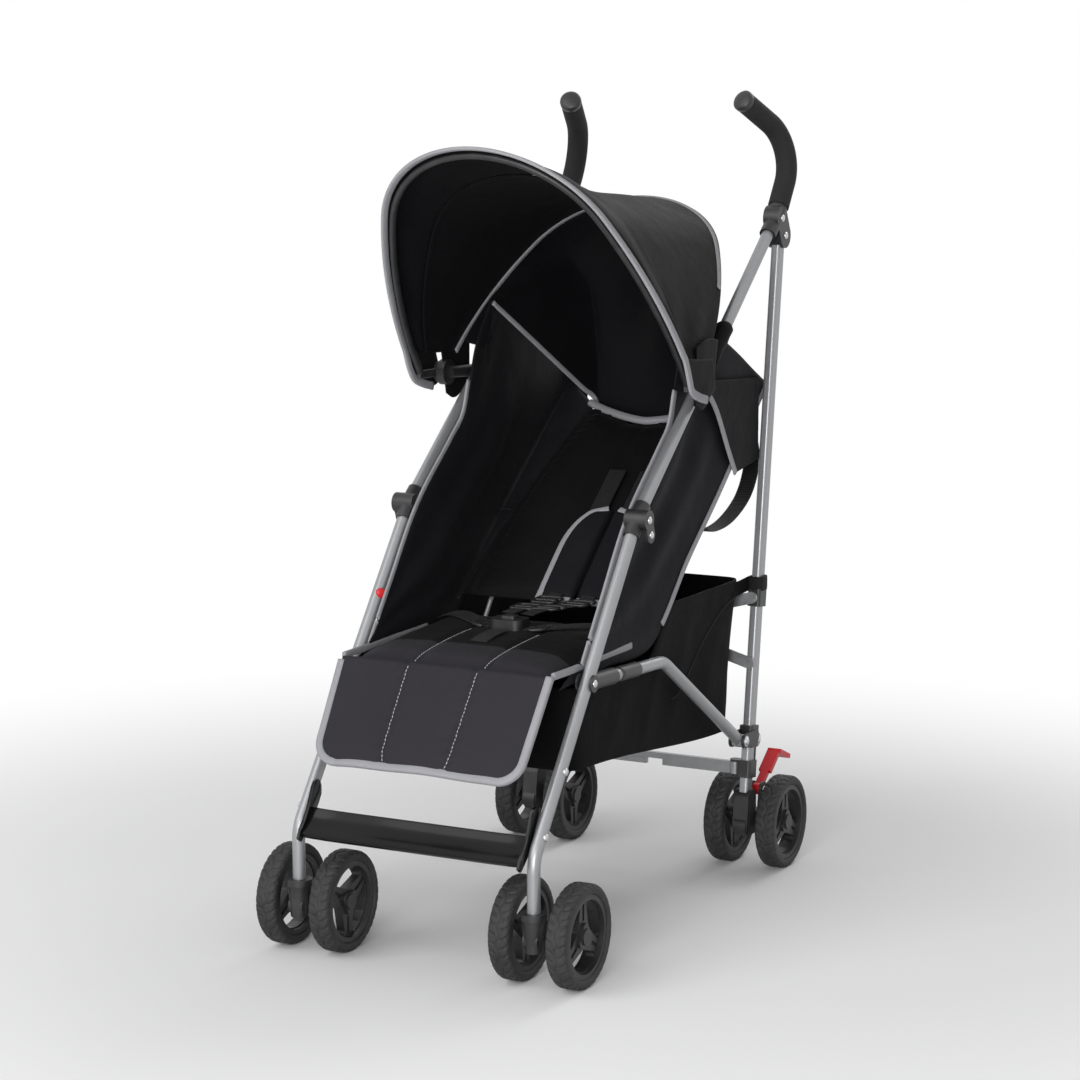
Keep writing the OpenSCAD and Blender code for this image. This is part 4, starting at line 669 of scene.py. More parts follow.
loop_turn = np.linspace(0, 2 * np.pi, 41)
loop_c, loop_s = np.cos(loop_turn), np.sin(loop_turn)
loop = np.column_stack([
    tube_x + 9.6 * np.sign(loop_c) * np.abs(loop_c) ** 0.5,
    on_rear_leg(loop_z) + 13.2 * np.sign(loop_s) * np.abs(loop_s) ** 0.5,
    np.full(len(loop_turn), loop_z),
])
loop_grid = tape(loop, (0, 0, 1), tab_wide, tab_thick)
on_each_side("basket_loop", loop_grid, webbing, "basket_fabric", wrap=True)
tab_path = even([
    (149.5, 250, 392), (151.5, 272, 393), (153.6, 290, 395), (154.2, on_rear_leg(loop_z) - 6.0, loop_z)
], 24)
trim("basket_tabs", paired(tape(tab_path, (0, 0, 1), tab_wide, tab_thick)), basket_cloth, "basket_fabric")

# Seat pad: a stuffed cushion on the sling between the seat tubes, in charcoal woven polyester, sewn
# through in two channels that run on down the calf flap in pale thread.
seat_half, crease_at, seat_front_y = 147.0, np.array([-6.0, 384.0]), -268.0
seat_front_z, pad_thick, pad_crown, seam_share = 372.0, 24.0, 7.0, 1.0 / 3.0
seat_run, puff_cap, puff_frames = crease_at[0] - seat_front_y, 4.0, 20
charcoal_dark, charcoal_light = (0.024, 0.0225, 0.026), (0.036, 0.034, 0.039)


def fullness(u, v):
    """How full a cushion is: 1 in the middle, falling to a quarter at its edges as an eighth power."""
    return np.maximum(0.25, np.sqrt(np.clip((1 - np.abs(u) ** 8) * (1 - np.abs(2 * v - 1) ** 8), 0, 1)))


def crown(u, v):
    """Crown of a cushion: a cubic fall to both sides, times a sine along its length."""
    return (1 - np.abs(u) ** 3) * np.sin(np.pi * v)


def seat_top(u, v):
    """Height of the seat's top: its middle level, half its thickness where full, and its crown."""
    level = seat_front_z + (crease_at[1] - seat_front_z) * v - pad_thick / 2
    return level + pad_thick / 2 * fullness(u, v) + pad_crown * crown(u, v)


def puffed(piece, cap, voxel=0.005):
    """Swells a closed piece as stuffed cloth: even remesh, some frames of air, moves held to cap."""
    scene = bpy.context.scene
    bpy.context.view_layer.objects.active = piece
    grid_up = piece.modifiers.new("even", "REMESH")
    grid_up.mode, grid_up.voxel_size, grid_up.use_smooth_shade = "VOXEL", voxel, True
    plain = bpy.data.meshes.new_from_object(piece.evaluated_get(bpy.context.evaluated_depsgraph_get()))
    piece.modifiers.clear()
    materials = list(piece.data.materials)
    piece.data = plain
    start = np.empty(len(plain.vertices) * 3)
    plain.vertices.foreach_get("co", start)
    air = piece.modifiers.new("air", "CLOTH")
    air.settings.quality, air.settings.mass = 6, 0.3
    air.settings.use_pressure, air.settings.uniform_pressure_force = True, 4.0
    air.settings.effector_weights.gravity = 0.0
    air.point_cache.frame_start, air.point_cache.frame_end = 1, puff_frames
    for step in range(1, puff_frames + 1):
        scene.frame_set(step)
    swollen = piece.evaluated_get(bpy.context.evaluated_depsgraph_get()).to_mesh()
    end = np.empty_like(start)
    swollen.vertices.foreach_get("co", end)
    move = (end - start).reshape(-1, 3)
    far = np.linalg.norm(move, axis=1, keepdims=True)
    move = move * np.minimum(1.0, cap * mm / np.maximum(far, 1e-9))
    piece.modifiers.clear()
    plain.vertices.foreach_set("co", (start.reshape(-1, 3) + move).ravel())
    scene.frame_set(1)
    plain.polygons.foreach_set("use_smooth", [True] * len(plain.polygons))
    plain.update()
    for material in materials:
        if material.name not in plain.materials:
            plain.materials.append(material)


def pressed_in(piece, change):
    """Moves a piece's points: change takes layout millimetres and gives the move in millimetres."""
    points = np.empty(len(piece.data.vertices) * 3)
    piece.data.vertices.foreach_get("co", points)
    points = points.reshape(-1, 3)
    points = points + change(points / mm - layout_shift) * mm
    piece.data.vertices.foreach_set("co", points.ravel())
    piece.data.update()


def padded_cloth(name, dark, light, turn):
    """Woven cloth on a stuffed piece: the yarns lie on object coordinates, turned into the piece's plane."""
    cloth = Finish(name, **cloth_gloss)
    place = cloth.add("ShaderNodeMapping", None, {
        "Vector": cloth.add("ShaderNodeTexCoord", out="Object"), "Rotation": (turn, 0.0, 0.0)})
    weave(cloth, place, yarn_pitch, 30.0, 8.0, dark, light, 0.6, 4.0)
    return cloth


seat_u = np.linspace(-1, 1, 61)
seat_v = np.linspace(0, 1, 49)[:, None]
seat_level = seat_front_z + (crease_at[1] - seat_front_z) * seat_v - pad_thick / 2
seat_y = seat_front_y + 4 + (seat_run - 6) * seat_v
seat_upper = np.stack(np.broadcast_arrays(
    seat_u * (seat_half - 4), seat_y, seat_top(seat_u, seat_v) - 3), -1)
seat_lower = seat_upper.copy()
seat_lower[:, :, 2] = seat_level - pad_thick / 2 * fullness(seat_u, seat_v) + 3
seat_grid = np.concatenate([seat_upper, seat_lower[:, ::-1]], 1)
seat_cushion = surface("seat_cushion", seat_grid, wrap=True, caps=True)
charcoal_seat = padded_cloth("charcoal_seat", charcoal_dark, charcoal_light, 0.0)
seat_place = charcoal_seat.add("ShaderNodeSeparateXYZ", None, {
    0: charcoal_seat.add("ShaderNodeTexCoord", out="Object")}, out="Y")
seat_rear = charcoal_seat.add("ShaderNodeMapRange", {"interpolation_type": "SMOOTHSTEP"}, {
    "Value": seat_place, "From Min": -0.2235, "From Max": -0.2205})
pad_dark, pad_light = (0.0035, 0.0035, 0.0038), (0.010, 0.010, 0.0108)
seat_black = charcoal_seat.between(charcoal_seat.noise(9.0, 3.0), pad_dark, pad_light)
seat_front_shade = Socket(charcoal_seat, charcoal_seat.shader.inputs["Base Color"].links[0].from_socket)
charcoal_seat.put("Base Color", charcoal_seat.add(
    "ShaderNodeMix", {"data_type": "RGBA"}, {0: seat_rear, 6: seat_front_shade, 7: seat_black}, out=2))
seat_cushion.data.materials.append(charcoal_seat.material)
puffed(seat_cushion, puff_cap)


def seat_channels(p):
    """Sewn channels at a third of the half width: the top drops as a narrow bell, with a ripple beside it."""
    off = np.abs(np.abs(p[:, 0]) - seat_half * seam_share)
    top = smooth((p[:, 2] - seat_front_z + 10) / 6)
    ripple = 0.5 * np.sin(p[:, 1] * 2 * np.pi / 17.0) * np.exp(-(off / 12.0) ** 2)
    drop = top * (-4.0 * np.exp(-(off / 5.0) ** 2) + ripple)
    return np.stack([np.zeros(len(p)), np.zeros(len(p)), drop], -1)


def rounded(piece):
    """Smooths a stuffed piece with one level of subdivision."""
    finer = piece.modifiers.new("round", "SUBSURF")
    finer.levels = finer.render_levels = 1


pressed_in(seat_cushion, seat_channels)
rounded(seat_cushion)
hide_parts("seat_pad")
gather(seat_cushion)

# Calf flap: a thin padded panel hung from the front edge of the seat, in the same charcoal cloth, bound
# on three sides with pale grey tape and sewn through in line with the seat's channels.
flap_long, flap_thick, flap_lean, flap_corner = 138.0, 13.0, np.radians(33.0), 138.0 * 0.2
flap_down = np.array([-np.sin(flap_lean), -np.cos(flap_lean)])
flap_face = np.array([-np.cos(flap_lean), np.sin(flap_lean)])
flap_top = np.array([seat_front_y - 0.3 - flap_thick / 2 * np.cos(flap_lean), seat_front_z - flap_thick / 2])


def flap_half(s):
    """Half width of the flap: a slight taper down its length, ending in round lower corners."""
    left = np.maximum(0.0, s - flap_long + flap_corner)
    return seat_half - 2 - s * 0.04 - flap_corner + np.sqrt(flap_corner ** 2 - left ** 2 * 0.98)


def flap_point(s, u, lift):
    """Point at length s down the flap, share u of its half width and lift along its face."""
    bow = 8.0 * (1 - u ** 2) * s / flap_long
    wave = 1.6 * np.sin(2.2 * np.pi * u + 0.6) * (s / flap_long) ** 2
    spot = flap_top + s[..., None] * flap_down + (lift + bow + wave)[..., None] * flap_face
    return np.concatenate([(u * flap_half(s))[..., None], spot], -1)


def flap_skin(s, u, front):
    """The flap's face or back: half its thickness where full, thin at the edges, pinched along the seams."""
    v = 1 - s / flap_long
    body = flap_thick / 2 * fullness(u, 0.9 * v)
    off = np.abs(np.abs(u) - seam_share) * seat_half
    pinch = 3.2 * np.exp(-(off / 5.0) ** 2) + 0.5 * np.sin(s * 0.36) * np.exp(-(off / 13.0) ** 2)
    return flap_point(s, u, body - pinch) if front else flap_point(s, u, -body + 0.6 * pinch)


flap_u = np.linspace(-1, 1, 97)
flap_s = (flap_long * (1 - np.linspace(0, 1, 49) ** 1.6))[:, None]
flap_s, flap_u = np.broadcast_arrays(flap_s, flap_u)
flap_grid = np.concatenate([flap_skin(flap_s, flap_u, True), flap_skin(flap_s, flap_u, False)[:, ::-1]], 1)
flap = surface("calf_flap_panel", flap_grid, wrap=True, caps=True)
charcoal_flap = woven("charcoal_flap", charcoal_dark, charcoal_light, drape=2.0)
clad(flap, charcoal_flap)
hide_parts("calf_flap")
gather(flap)

binding_grey = woven("binding_grey", (0.250, 0.250, 0.265), (0.355, 0.355, 0.372), pitch=0.0014)


def binding(name, path, across, width, thick, body="frame", anchor=soft_anchor, keep=soft_keep):
    """Folded tape sewn over a cloth edge, pale grey, as one or more strips along their paths."""
    strips = [tape(p, a, width, thick) for p, a in zip(path, across)]
    return trim(name, strips, binding_grey, "seat_fabric", body, anchor, keep)


corner_s = flap_long - flap_corner
edge_s = np.concatenate([
    np.linspace(0, corner_s, 22), corner_s + flap_corner * np.sin(np.linspace(0, np.pi / 2, 16)[1:])
])
flap_side = flap_point(edge_s, np.ones(len(edge_s)), np.zeros(len(edge_s)))
foot_u = np.linspace(1, -1, 40)[1:-1]
flap_foot = flap_point(np.full(len(foot_u), flap_long), foot_u, np.zeros(len(foot_u)))
flap_edge = even(np.vstack([flap_side, flap_foot, mirrored(flap_side)[::-1]])[::2], 190)
flap_mid = np.array([0.0, *(flap_top + flap_down * flap_long * 0.45)])
binding("calf_flap_binding", [flap_edge], [flap_mid - flap_edge], 10.0, 9.0)


stitch_pitch, stitch_long, stitch_thick = 5.2, 4.0, 1.3


def stitches(paths, normal):
    """Grids of short thread stitches: small spindles laid end to end along paths, half sunk in the cloth."""
    beads = []
    for path in paths:
        run = np.concatenate([[0], np.cumsum(np.linalg.norm(np.diff(path, axis=0), axis=1))])
        at = np.arange(stitch_pitch / 2, run[-1], stitch_pitch)
        behind, mid, front = (
            np.stack([np.interp(at + step, run, path[:, k]) for k in range(3)], -1) for step in (-1, 0, 1))
        ahead = (front - behind) / np.linalg.norm(front - behind, axis=1, keepdims=True)
        side = np.cross(ahead, normal)
        side = side / np.linalg.norm(side, axis=1, keepdims=True)
        up = np.cross(side, ahead)
        station = np.array([-0.5, -0.32, 0.0, 0.32, 0.5]) * stitch_long
        girth = np.array([0.25, 0.9, 1.0, 0.9, 0.25]) * stitch_thick / 2
        turn = np.linspace(0, 2 * np.pi, 6, endpoint=False)
        ring = np.cos(turn)[:, None, None] * side + np.sin(turn)[:, None, None] * up
        beads.append(mid[:, None, None] + station[None, :, None, None] * ahead[:, None, None]
                     + girth[None, :, None, None] * ring.transpose(1, 0, 2)[:, None])
    return np.concatenate(beads)


thread = Finish("pale_thread", roughness=0.55, sheen_weight=0.2)
twist = thread.noise(900.0, 2.0)
thread.put("Base Color", thread.between(twist, (0.30, 0.30, 0.32), (0.46, 0.46, 0.48)))
line_s = np.linspace(4, flap_long - 8, 60)
flap_front = np.array([0.0, *flap_face])
thread_lines = [
    flap_skin(line_s, np.full(len(line_s), side * seam_share), True) + flap_front * 0.5 for side in (1, -1)
]
trim("calf_flap_stitches", stitches(thread_lines, flap_front), thread, "flap_fabric")


def over_seat(x, y, lift):
    """Point that lies on the seat pad, lift above it."""
    return np.stack([x, y, seat_top(x / seat_half, (y - seat_front_y) / seat_run) + lift], -1)


line_y = np.linspace(seat_front_y + 6, seat_front_y + 150, 60)
seat_lines = [
    over_seat(np.full(len(line_y), side * seam_share * seat_half), line_y, -2.0) for side in (1, -1)
]
trim("seat_stitches", stitches(seat_lines, np.array([0.0, 0.0, 1.0])), thread, "seat_fabric")

seat_edge = even([
    (146.5, seat_front_y - 2, 366), (148.0, -225, 366), (148.5, -170, 367), (148.5, -100, 368),
    (148.5, -60, 369)
], 60)
binding("seat_binding", paired(seat_edge), [(0, 0, 1), (0, 0, 1)], 9.0, 5.0)

# Backrest: a long stuffed panel in black cloth that leans back from the crease and swings up on the
# recline pivot. Its sides are gathered into a seam, so small puckers run along them.
back_long, back_thick, back_crown, back_top_half, back_dip = 404.0, 16.0, 10.0, 96.0, 30.0
back_up, back_out = np.array([0.788011, 0.615661]), np.array([-0.615661, 0.788011])


def back_half(s):
    """Half width of the backrest: narrowing as the square of the length."""
    return seat_half + (back_top_half - seat_half) * (s / back_long) ** 2


def back_top(u):
    """Length up to the top edge: highest at the corners, dipping in the middle as the cloth hangs slack."""
    return back_long - back_dip * (1 - np.abs(u) ** 1.4)


def on_back(x, s, lift):
    """Point on the backrest's plane: x to the side, length s up it and lift towards the child."""
    return np.concatenate([x[..., None], crease_at + s[..., None] * back_up + lift[..., None] * back_out], -1)


def back_point(s, u, lift):
    """Point at length s up the backrest, share u of its half width and lift towards the child."""
    return on_back(u * back_half(s), s, lift)


back_v = 1 - (1 - np.linspace(0, 1, 57)) ** 1.5
back_u = np.broadcast_to(np.linspace(-0.975, 0.975, 61), (57, 61))
back_s = back_thick + 3 + (back_top(back_u) - back_thick - 6) * back_v[:, None]
back_full = back_thick / 2 * fullness(back_u, np.broadcast_to(back_v[:, None], back_u.shape)) - 2.5
back_swell = crown(back_u, np.broadcast_to(back_v[:, None], back_u.shape))
back_grid = np.concatenate([
    back_point(back_s, back_u, np.maximum(back_full, 1.5) + back_crown * back_swell),
    back_point(back_s, back_u, -np.maximum(back_full, 1.5) - back_crown / 2 * back_swell)[:, ::-1]
], 1)
back_pad = surface("backrest_pad", back_grid, wrap=True, caps=True)
black_back = padded_cloth("black_back", pad_dark, pad_light, np.radians(-38.0))
back_pad.data.materials.append(black_back.material)
puffed(back_pad, puff_cap)


def back_puckers(p):
    """Seams near the sides and up the middle drawn in as bells across, with puckers and soft folds."""
    s = (p[:, 1:] - crease_at) @ back_up
    lift = (p[:, 1:] - crease_at) @ back_out
    wide = back_half(np.clip(s, 0, back_long))
    off = wide * 0.80 - np.abs(p[:, 0])
    face = smooth((lift - 1.0) / 4.0)
    pucker = 0.8 * np.sin(s * 2 * np.pi / 13.0 + 3 * np.sin(s / 31.0)) * np.exp(-((off - 7) / 11.0) ** 2)
    draw = face * (pucker - 3.4 * np.exp(-(off / 4.5) ** 2))
    slack = face * 1.2 * np.sin(s / 46.0 + p[:, 0] / 37.0) * np.sin(np.pi * np.clip(s / back_long, 0, 1))
    middle = face * -2.6 * np.exp(-((p[:, 0] - 5.0) / 3.5) ** 2) * smooth((s - 250.0) / 12.0)
    return np.concatenate([np.zeros((len(p), 1)), (draw + slack + middle)[:, None] * back_out], 1)


pressed_in(back_pad, back_puckers)
rounded(back_pad)
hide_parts("backrest")
gather(back_pad, "backrest")

rod_at, rod_half, rod_into = np.array([4.0, 370.0]), 140.0, crease_at + back_up * 60.0
rod_arm, rod_r, arm_r = rod_into - rod_at, 4.0, 3.0
rods = [turned([(rod_r, -rod_half), (rod_r, rod_half)], (0, *rod_at), outward, 24)]
rods += [turned([(arm_r, 0.0), (arm_r, np.linalg.norm(rod_arm))], (x, *rod_at), (0, *rod_arm), 24)
         for x in (-0.7 * rod_half, 0.7 * rod_half)]
trim("recline_rod", rods, brace_steel, "brace_metal", "backrest", sharp=40)

gusset_out = 146.6
gusset_s = np.linspace(back_thick + 4, back_long - 3, 60)
gusset_w = np.linspace(0, 1, 9)[:, None]
gusset_in = back_half(gusset_s) - 7
gusset_x = gusset_in + (gusset_out - gusset_in) * gusset_w
gusset_lift = -4.0 + 2.5 * np.sin(np.pi * gusset_w) * np.sin(gusset_s / 19.0)
gusset_up = gusset_s + 48.0 * gusset_w * smooth((gusset_s - 200.0) / 200.0)
gusset = on_back(gusset_x, gusset_up, gusset_lift)
gussets = panel("backrest_gussets", paired(gusset), black_cloth, "seat_fabric", 1.4)
gather(gussets, "backrest")

top_u = np.linspace(-1, 1, 60)
top_path = back_point(back_top(top_u) - 1.0, top_u, np.zeros(len(top_u)))
binding("backrest_binding", [top_path], [(0, *back_up)], 10.0, 8.0, body="backrest")

# Side wings: single panels of black cloth from the front legs and push tubes in to the seat and backrest,
# hanging in soft upright folds and bound in pale grey along the tubes and along the rear edge.
wing_inner, wing_past, wing_cols, rear_from = 147.3, 62.0, 121, 48
socket_at = np.array([on_front_leg(socket_z), socket_z])
tube_edge = np.array([
    socket_at + [14.0, 18.0], (socket_at + hinge_at) / 2, (-78.2, 531.0), (8.2, 605.0), (44.0, 637.0),
    (60.0, 678.0), (78.0, 728.0), (118.0, 786.0)
])
inner_edge = np.array([
    (seat_front_y + 8, seat_front_z - pad_thick), (seat_front_y + 131, 354.0),
    (crease_at[0] + 4, crease_at[1] - pad_thick),
    *(crease_at + back_up * back_long * share - back_out * back_thick for share in (0.33, 0.66)),
    crease_at + back_up * (back_long + wing_past) - back_out * back_thick * 0.5,
])
wing_front, wing_rear = even(tube_edge, wing_cols), even(inner_edge, wing_cols)
wing_v = np.linspace(0, 1, 41)[:, None, None]
wing_yz = wing_rear * (1 - wing_v) + wing_front * wing_v
wing_t = np.linspace(0, 1, wing_cols)[None]
lift = wing_v[..., 0]
along = 0.5 + 0.5 * np.cos(2 * np.pi * (2.6 * lift + 0.3 * np.sin(3.0 * wing_t) + 0.4 * wing_t))
along = along * smooth(3 * wing_t) * smooth(3 - 3 * wing_t)
fold = 3.0 * (0.5 + 0.5 * np.cos(5 * np.pi * wing_t + 2.2 * lift)) + 9.0 * along
fold = fold * np.sin(np.pi * lift) * smooth(2 * lift)
fold = fold + 1.4 * np.sin(np.pi * lift) * np.sin(13.0 * wing_t + 7.0 * lift) ** 2
wing = np.concatenate([(wing_inner + 2.6 - fold)[..., None], wing_yz], -1)
wings = panel("side_wing_panels", paired(wing), black_cloth, "seat_fabric", 2.0)
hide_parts("side_wings")
gather(wings)

bound_to = int(np.searchsorted(wing_front[:, 1], 684.0))
front_strip = np.column_stack([np.full(wing_cols, 151.0), wing_front])[:bound_to]
rear_strip = np.column_stack([np.full(wing_cols, 152.2), wing_rear + back_out * 6.0])[rear_from:]
front_in = np.column_stack([np.zeros(wing_cols), wing_rear - wing_front])[:bound_to]
rear_in = np.column_stack([np.zeros(wing_cols), wing_front - wing_rear])[rear_from:]
binding("wing_front_binding", paired(front_strip), [front_in, front_in], 11.0, 4.0)
binding("wing_rear_binding", paired(rear_strip), [rear_in, rear_in], 8.0, 3.2)

# Harness: black ribbed webbing. Two padded shoulder covers with pale piping lie on the backrest, their
# straps run down through adjusters to the buckle, and lap and crotch straps meet them there.
web_wide, web_thick, buckle_y, buckle_side = 25.0, 2.0, -106.0, 23.3
ribbed = Finish("ribbed_webbing", specular_ior_level=0.22, sheen_weight=0.04, sheen_roughness=0.4)
rib_pitch, rib_dark, rib_light = 0.0032, (0.004, 0.004, 0.0043), (0.013, 0.013, 0.014)
rib_spot = ribbed.add("ShaderNodeSeparateXYZ", None, {0: ribbed.add("ShaderNodeUVMap", {"uv_map": "cloth"})})
rib = Socket(ribbed, rib_spot.out.node.outputs[1]) * (2 * np.pi / rib_pitch)
rib_wave = rib.math("SINE", rib)
rib_shade = ribbed.noise(40.0, 3.0)
ribbed.put("Base Color", ribbed.between(rib_wave * 0.3 + rib_shade * 0.7, rib_dark, rib_light))
ribbed.put("Roughness", 0.5 + 0.2 * rib_shade)
ribbed.relief(rib_wave, 0.0006, 0.6)

lap_t = np.linspace(0, 1, 50)
lap_x = buckle_side + (143.0 - buckle_side) * lap_t
lap_y = buckle_y + (crease_at[0] - 26.0 - buckle_y) * smooth(lap_t)
lap_path = over_seat(lap_x, lap_y, 1.6 + 3.0 * np.sin(np.pi * lap_t))
crotch_y = np.linspace(seat_front_y + 79.0, buckle_y - 18.3, 30)
crotch_path = over_seat(np.zeros(30), crotch_y, 1.6 + 2.0 * np.sin(np.linspace(0, np.pi, 30)))
crotch_path = even(crotch_path[::5], 50)
lap_grid = tape(lap_path, (0, 1, 0.05), web_wide, web_thick)
crotch_grid = tape(crotch_path, outward, web_wide, web_thick)
straps = trim("harness_straps", [lap_grid, mirrored(lap_grid), crotch_grid], ribbed, "webbing")
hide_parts("harness")

cover_low, cover_high, cover_turn = 18.0, 178.0, 100.0


def pad_cover(outer, inner):
    """Shoulder cover: a crowned pad on the backrest, its outer side turning in to the top as an ellipse."""
    s = np.linspace(cover_low, cover_high, 41)[:, None]
    u = np.linspace(0, 1, 25)[None]
    high = np.clip((s - cover_turn) / (cover_high - cover_turn), 0, 1)
    side = outer + (inner - outer) * 0.9 * (1 - np.sqrt(1 - high ** 2.2))
    x = side + (inner - side) * u
    v = (s - cover_low) / (cover_high - cover_low)
    body = np.sqrt(np.clip((1 - np.abs(2 * u - 1) ** 6) * (1 - np.abs(2 * v - 1) ** 10), 0.0, 1))
    ground = back_thick / 2 + back_crown * crown(x / back_half(s), s / back_long) + 1.0
    return s, x, ground, body


cover_rows, cover_edges, cover_edge_in = [], [], []
for outer, inner in ((-14.0, 34.0), (88.0, 40.0)):
    s, x, ground, body = pad_cover(outer, inner)
    s = np.broadcast_to(s, x.shape)
    over, under = on_back(x, s, ground + 2.0 + 8.0 * body), on_back(x, s, ground + 0.5)
    cover_rows.append(np.concatenate([over, under[:, ::-1]], 1))
    rim = np.vstack([over[::-1, 0], over[0, 1::2]])
    rim[:, 1:] += back_out * 4.0
    cover_edges.append(even(rim[::2], 120))
    cover_edge_in.append(over[20, 12] - cover_edges[-1])
covers = trim("shoulder_covers", cover_rows, black_cloth, "webbing", "backrest")
binding("shoulder_cover_piping", cover_edges, cover_edge_in, 9.0, 5.0, body="backrest")

shoulder_s, shoulder_lift = np.array([252.0, 215.0, 170.0]), np.full(3, back_thick / 2 + back_crown + 6.0)
shoulder_grids = [
    tape(even(on_back(np.full(3, x), shoulder_s, shoulder_lift), 40), outward, web_wide, web_thick)
    for x in (14.0, 60.0)
]
trim("shoulder_straps", shoulder_grids, ribbed, "webbing", "backrest")

drop_paths, drop_across = [], (1, 0.1, 0)
foot = crease_at + back_up * 26.0 + back_out * (back_thick / 2 + 12.0)
for shoulder_x, low_x in ((12.0, -13.0), (60.0, 15.0)):
    drop_paths.append(even(np.array([
        (shoulder_x, *foot), (shoulder_x - 4, foot[0] - 24, foot[1] - 6),
        (low_x + 8, -52.0, 405.0), (low_x, -88.0, 402.0)
    ]), 50))
drop_grids = [tape(path, drop_across, web_wide * 0.8, web_thick) for path in drop_paths]
trim("buckle_straps", drop_grids, ribbed, "webbing")


def slider_frame(centre, along, across, long, wide, thick):
    """Adjuster: a flat ring of round section with a bar across, as two closed loops of rounded oblong."""
    along, across = (np.asarray(v, float) / np.linalg.norm(v) for v in (along, across))
    turn = np.linspace(0, 2 * np.pi, 33)
    c, s = np.cos(turn), np.sin(turn)
    loop_path = np.asarray(centre) + (np.sign(c) * np.abs(c) ** 0.4 * wide / 2)[:, None] * across + (
        np.sign(s) * np.abs(s) ** 0.4 * long / 2)[:, None] * along
    bar_path = np.asarray(centre) + (np.linspace(-0.5, 0.5, 33) * wide)[:, None] * across
    return [tape(loop_path, np.cross(along, across), thick, thick * 1.2, 10, 0.7),
            tape(bar_path, np.cross(along, across), thick, thick * 1.6, 10, 0.7)]


adjusters = []
for path in drop_paths:
    for spot in (12, 30):
        adjusters += slider_frame(path[spot], path[spot + 1] - path[spot - 1], drop_across, 22.0, 31.0, 4.2)
lap_at, lap_way = lap_path[8], lap_path[9] - lap_path[7]
adjusters += slider_frame(lap_at, lap_way, (0, 1, 0), 20.0, 31.0, 4.0)
adjusters += slider_frame(mirrored(lap_at), mirrored(-lap_way), (0, 1, 0), 20.0, 31.0, 4.0)
trim("strap_adjusters", adjusters, joint_plastic, "buckle_plastic")

# Canopy: black cloth over a front bow that swings back on a pivot at each push tube and a rear bow that
# stays put. A visor with end tabs moves with the front bow over the fixed roof. Webs close it at the
# pivots, a curtain closes the back, and a side flap hangs over the rear of each wing.
bow_half, bow_rise, rear_rise, bow_top_r, bow_d = 194.0, 358.0, 336.0, 156.0, 9.0
pivot_y, pivot_z, bow_fore = 57.62, 692.0, 50.0
bow_angle, rear_angle = np.radians([54.2, 136.0])
hem, split, lap, lip, sag = 0.045, 0.24, 0.04, 0.008, 8.0
visor_edge, roof_out = 10.0, -8.0
hood_hold = (0.194, 0.0, 0.7), 0.5103  # anchor in metres, and the share of width kept when folded


def arch(half, rise, u):
    """Three-centred arch: side arcs up to a turn, then a top arc; u goes from foot to foot by length."""
    top_r = bow_top_r + half - bow_half
    side_r = ((rise - top_r) ** 2 + half ** 2 - top_r ** 2) / (2 * (half - top_r))
    turn = np.arctan((rise - top_r) / (side_r - half))
    side_l, top_l = side_r * turn, top_r * (np.pi / 2 - turn)
    at = (1 - np.abs(2 * u - 1)) * (side_l + top_l)
    high = turn + (at - side_l) / top_r
    x = np.where(at < side_l, half - side_r + side_r * np.cos(at / side_r), top_r * np.cos(high))
    h = np.where(at < side_l, side_r * np.sin(at / side_r), rise - top_r + top_r * np.sin(high))
    return np.sign(u - 0.5) * x, h


def on_front(x, h):
    """Point of the front bow's plane: x to the side and h up along it."""
    return np.stack([x, pivot_y - bow_fore - h * np.cos(bow_angle), pivot_z + h * np.sin(bow_angle)], -1)


def on_rear(x, h):
    """Point of the rear bow's plane: x to the side and h up along it."""
    return np.stack([x, pivot_y - h * np.cos(rear_angle), pivot_z + h * np.sin(rear_angle)], -1)


def roof_point(v, u, out):
    """Cloth stretched between the bows: a straight line from front to rear arch, grown by out, with a sag."""
    v, u, out = np.broadcast_arrays(v, u, out)
    front = on_front(*arch(bow_half + out, bow_rise + out, u))
    rear = on_rear(*arch(bow_half + out, rear_rise + out, u))
    spot = front + (rear - front) * v[..., None]
    spot[..., 2] -= sag * np.sin(np.pi * v) * np.sin(np.pi * u)
    return spot


bow_u = np.linspace(0, 1, 121)
bow_path = on_front(*arch(bow_half, bow_rise, bow_u))
bow_grid = tape(bow_path, (0, np.sin(bow_angle), np.cos(bow_angle)), bow_d, bow_d, 16, 1.0)
disc_profile = [(4.4, -3), (14, -3), (14, 2.2), (13, 3), (4.4, 3)]
disc = turned(disc_profile, (bow_half, pivot_y, pivot_z), outward, 36)
arm_path = np.array([(bow_half, pivot_y - 12 - k, pivot_z) for k in np.linspace(0, bow_fore - 6, 20)])
arm = tape(arm_path, (0, 0, 1), 11.0, 6.0, 12, 0.4)
bow_tube = trim("canopy_front_bow", bow_grid, joint_plastic, "joint_plastic", "canopy", *hood_hold)
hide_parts("canopy_bow")
trim("canopy_bow_feet", paired(disc), joint_plastic, "joint_plastic", "canopy", *hood_hold, sharp=40)
trim("canopy_bow_arms", paired(arm), joint_plastic, "joint_plastic", "canopy", *hood_hold, sharp=50)

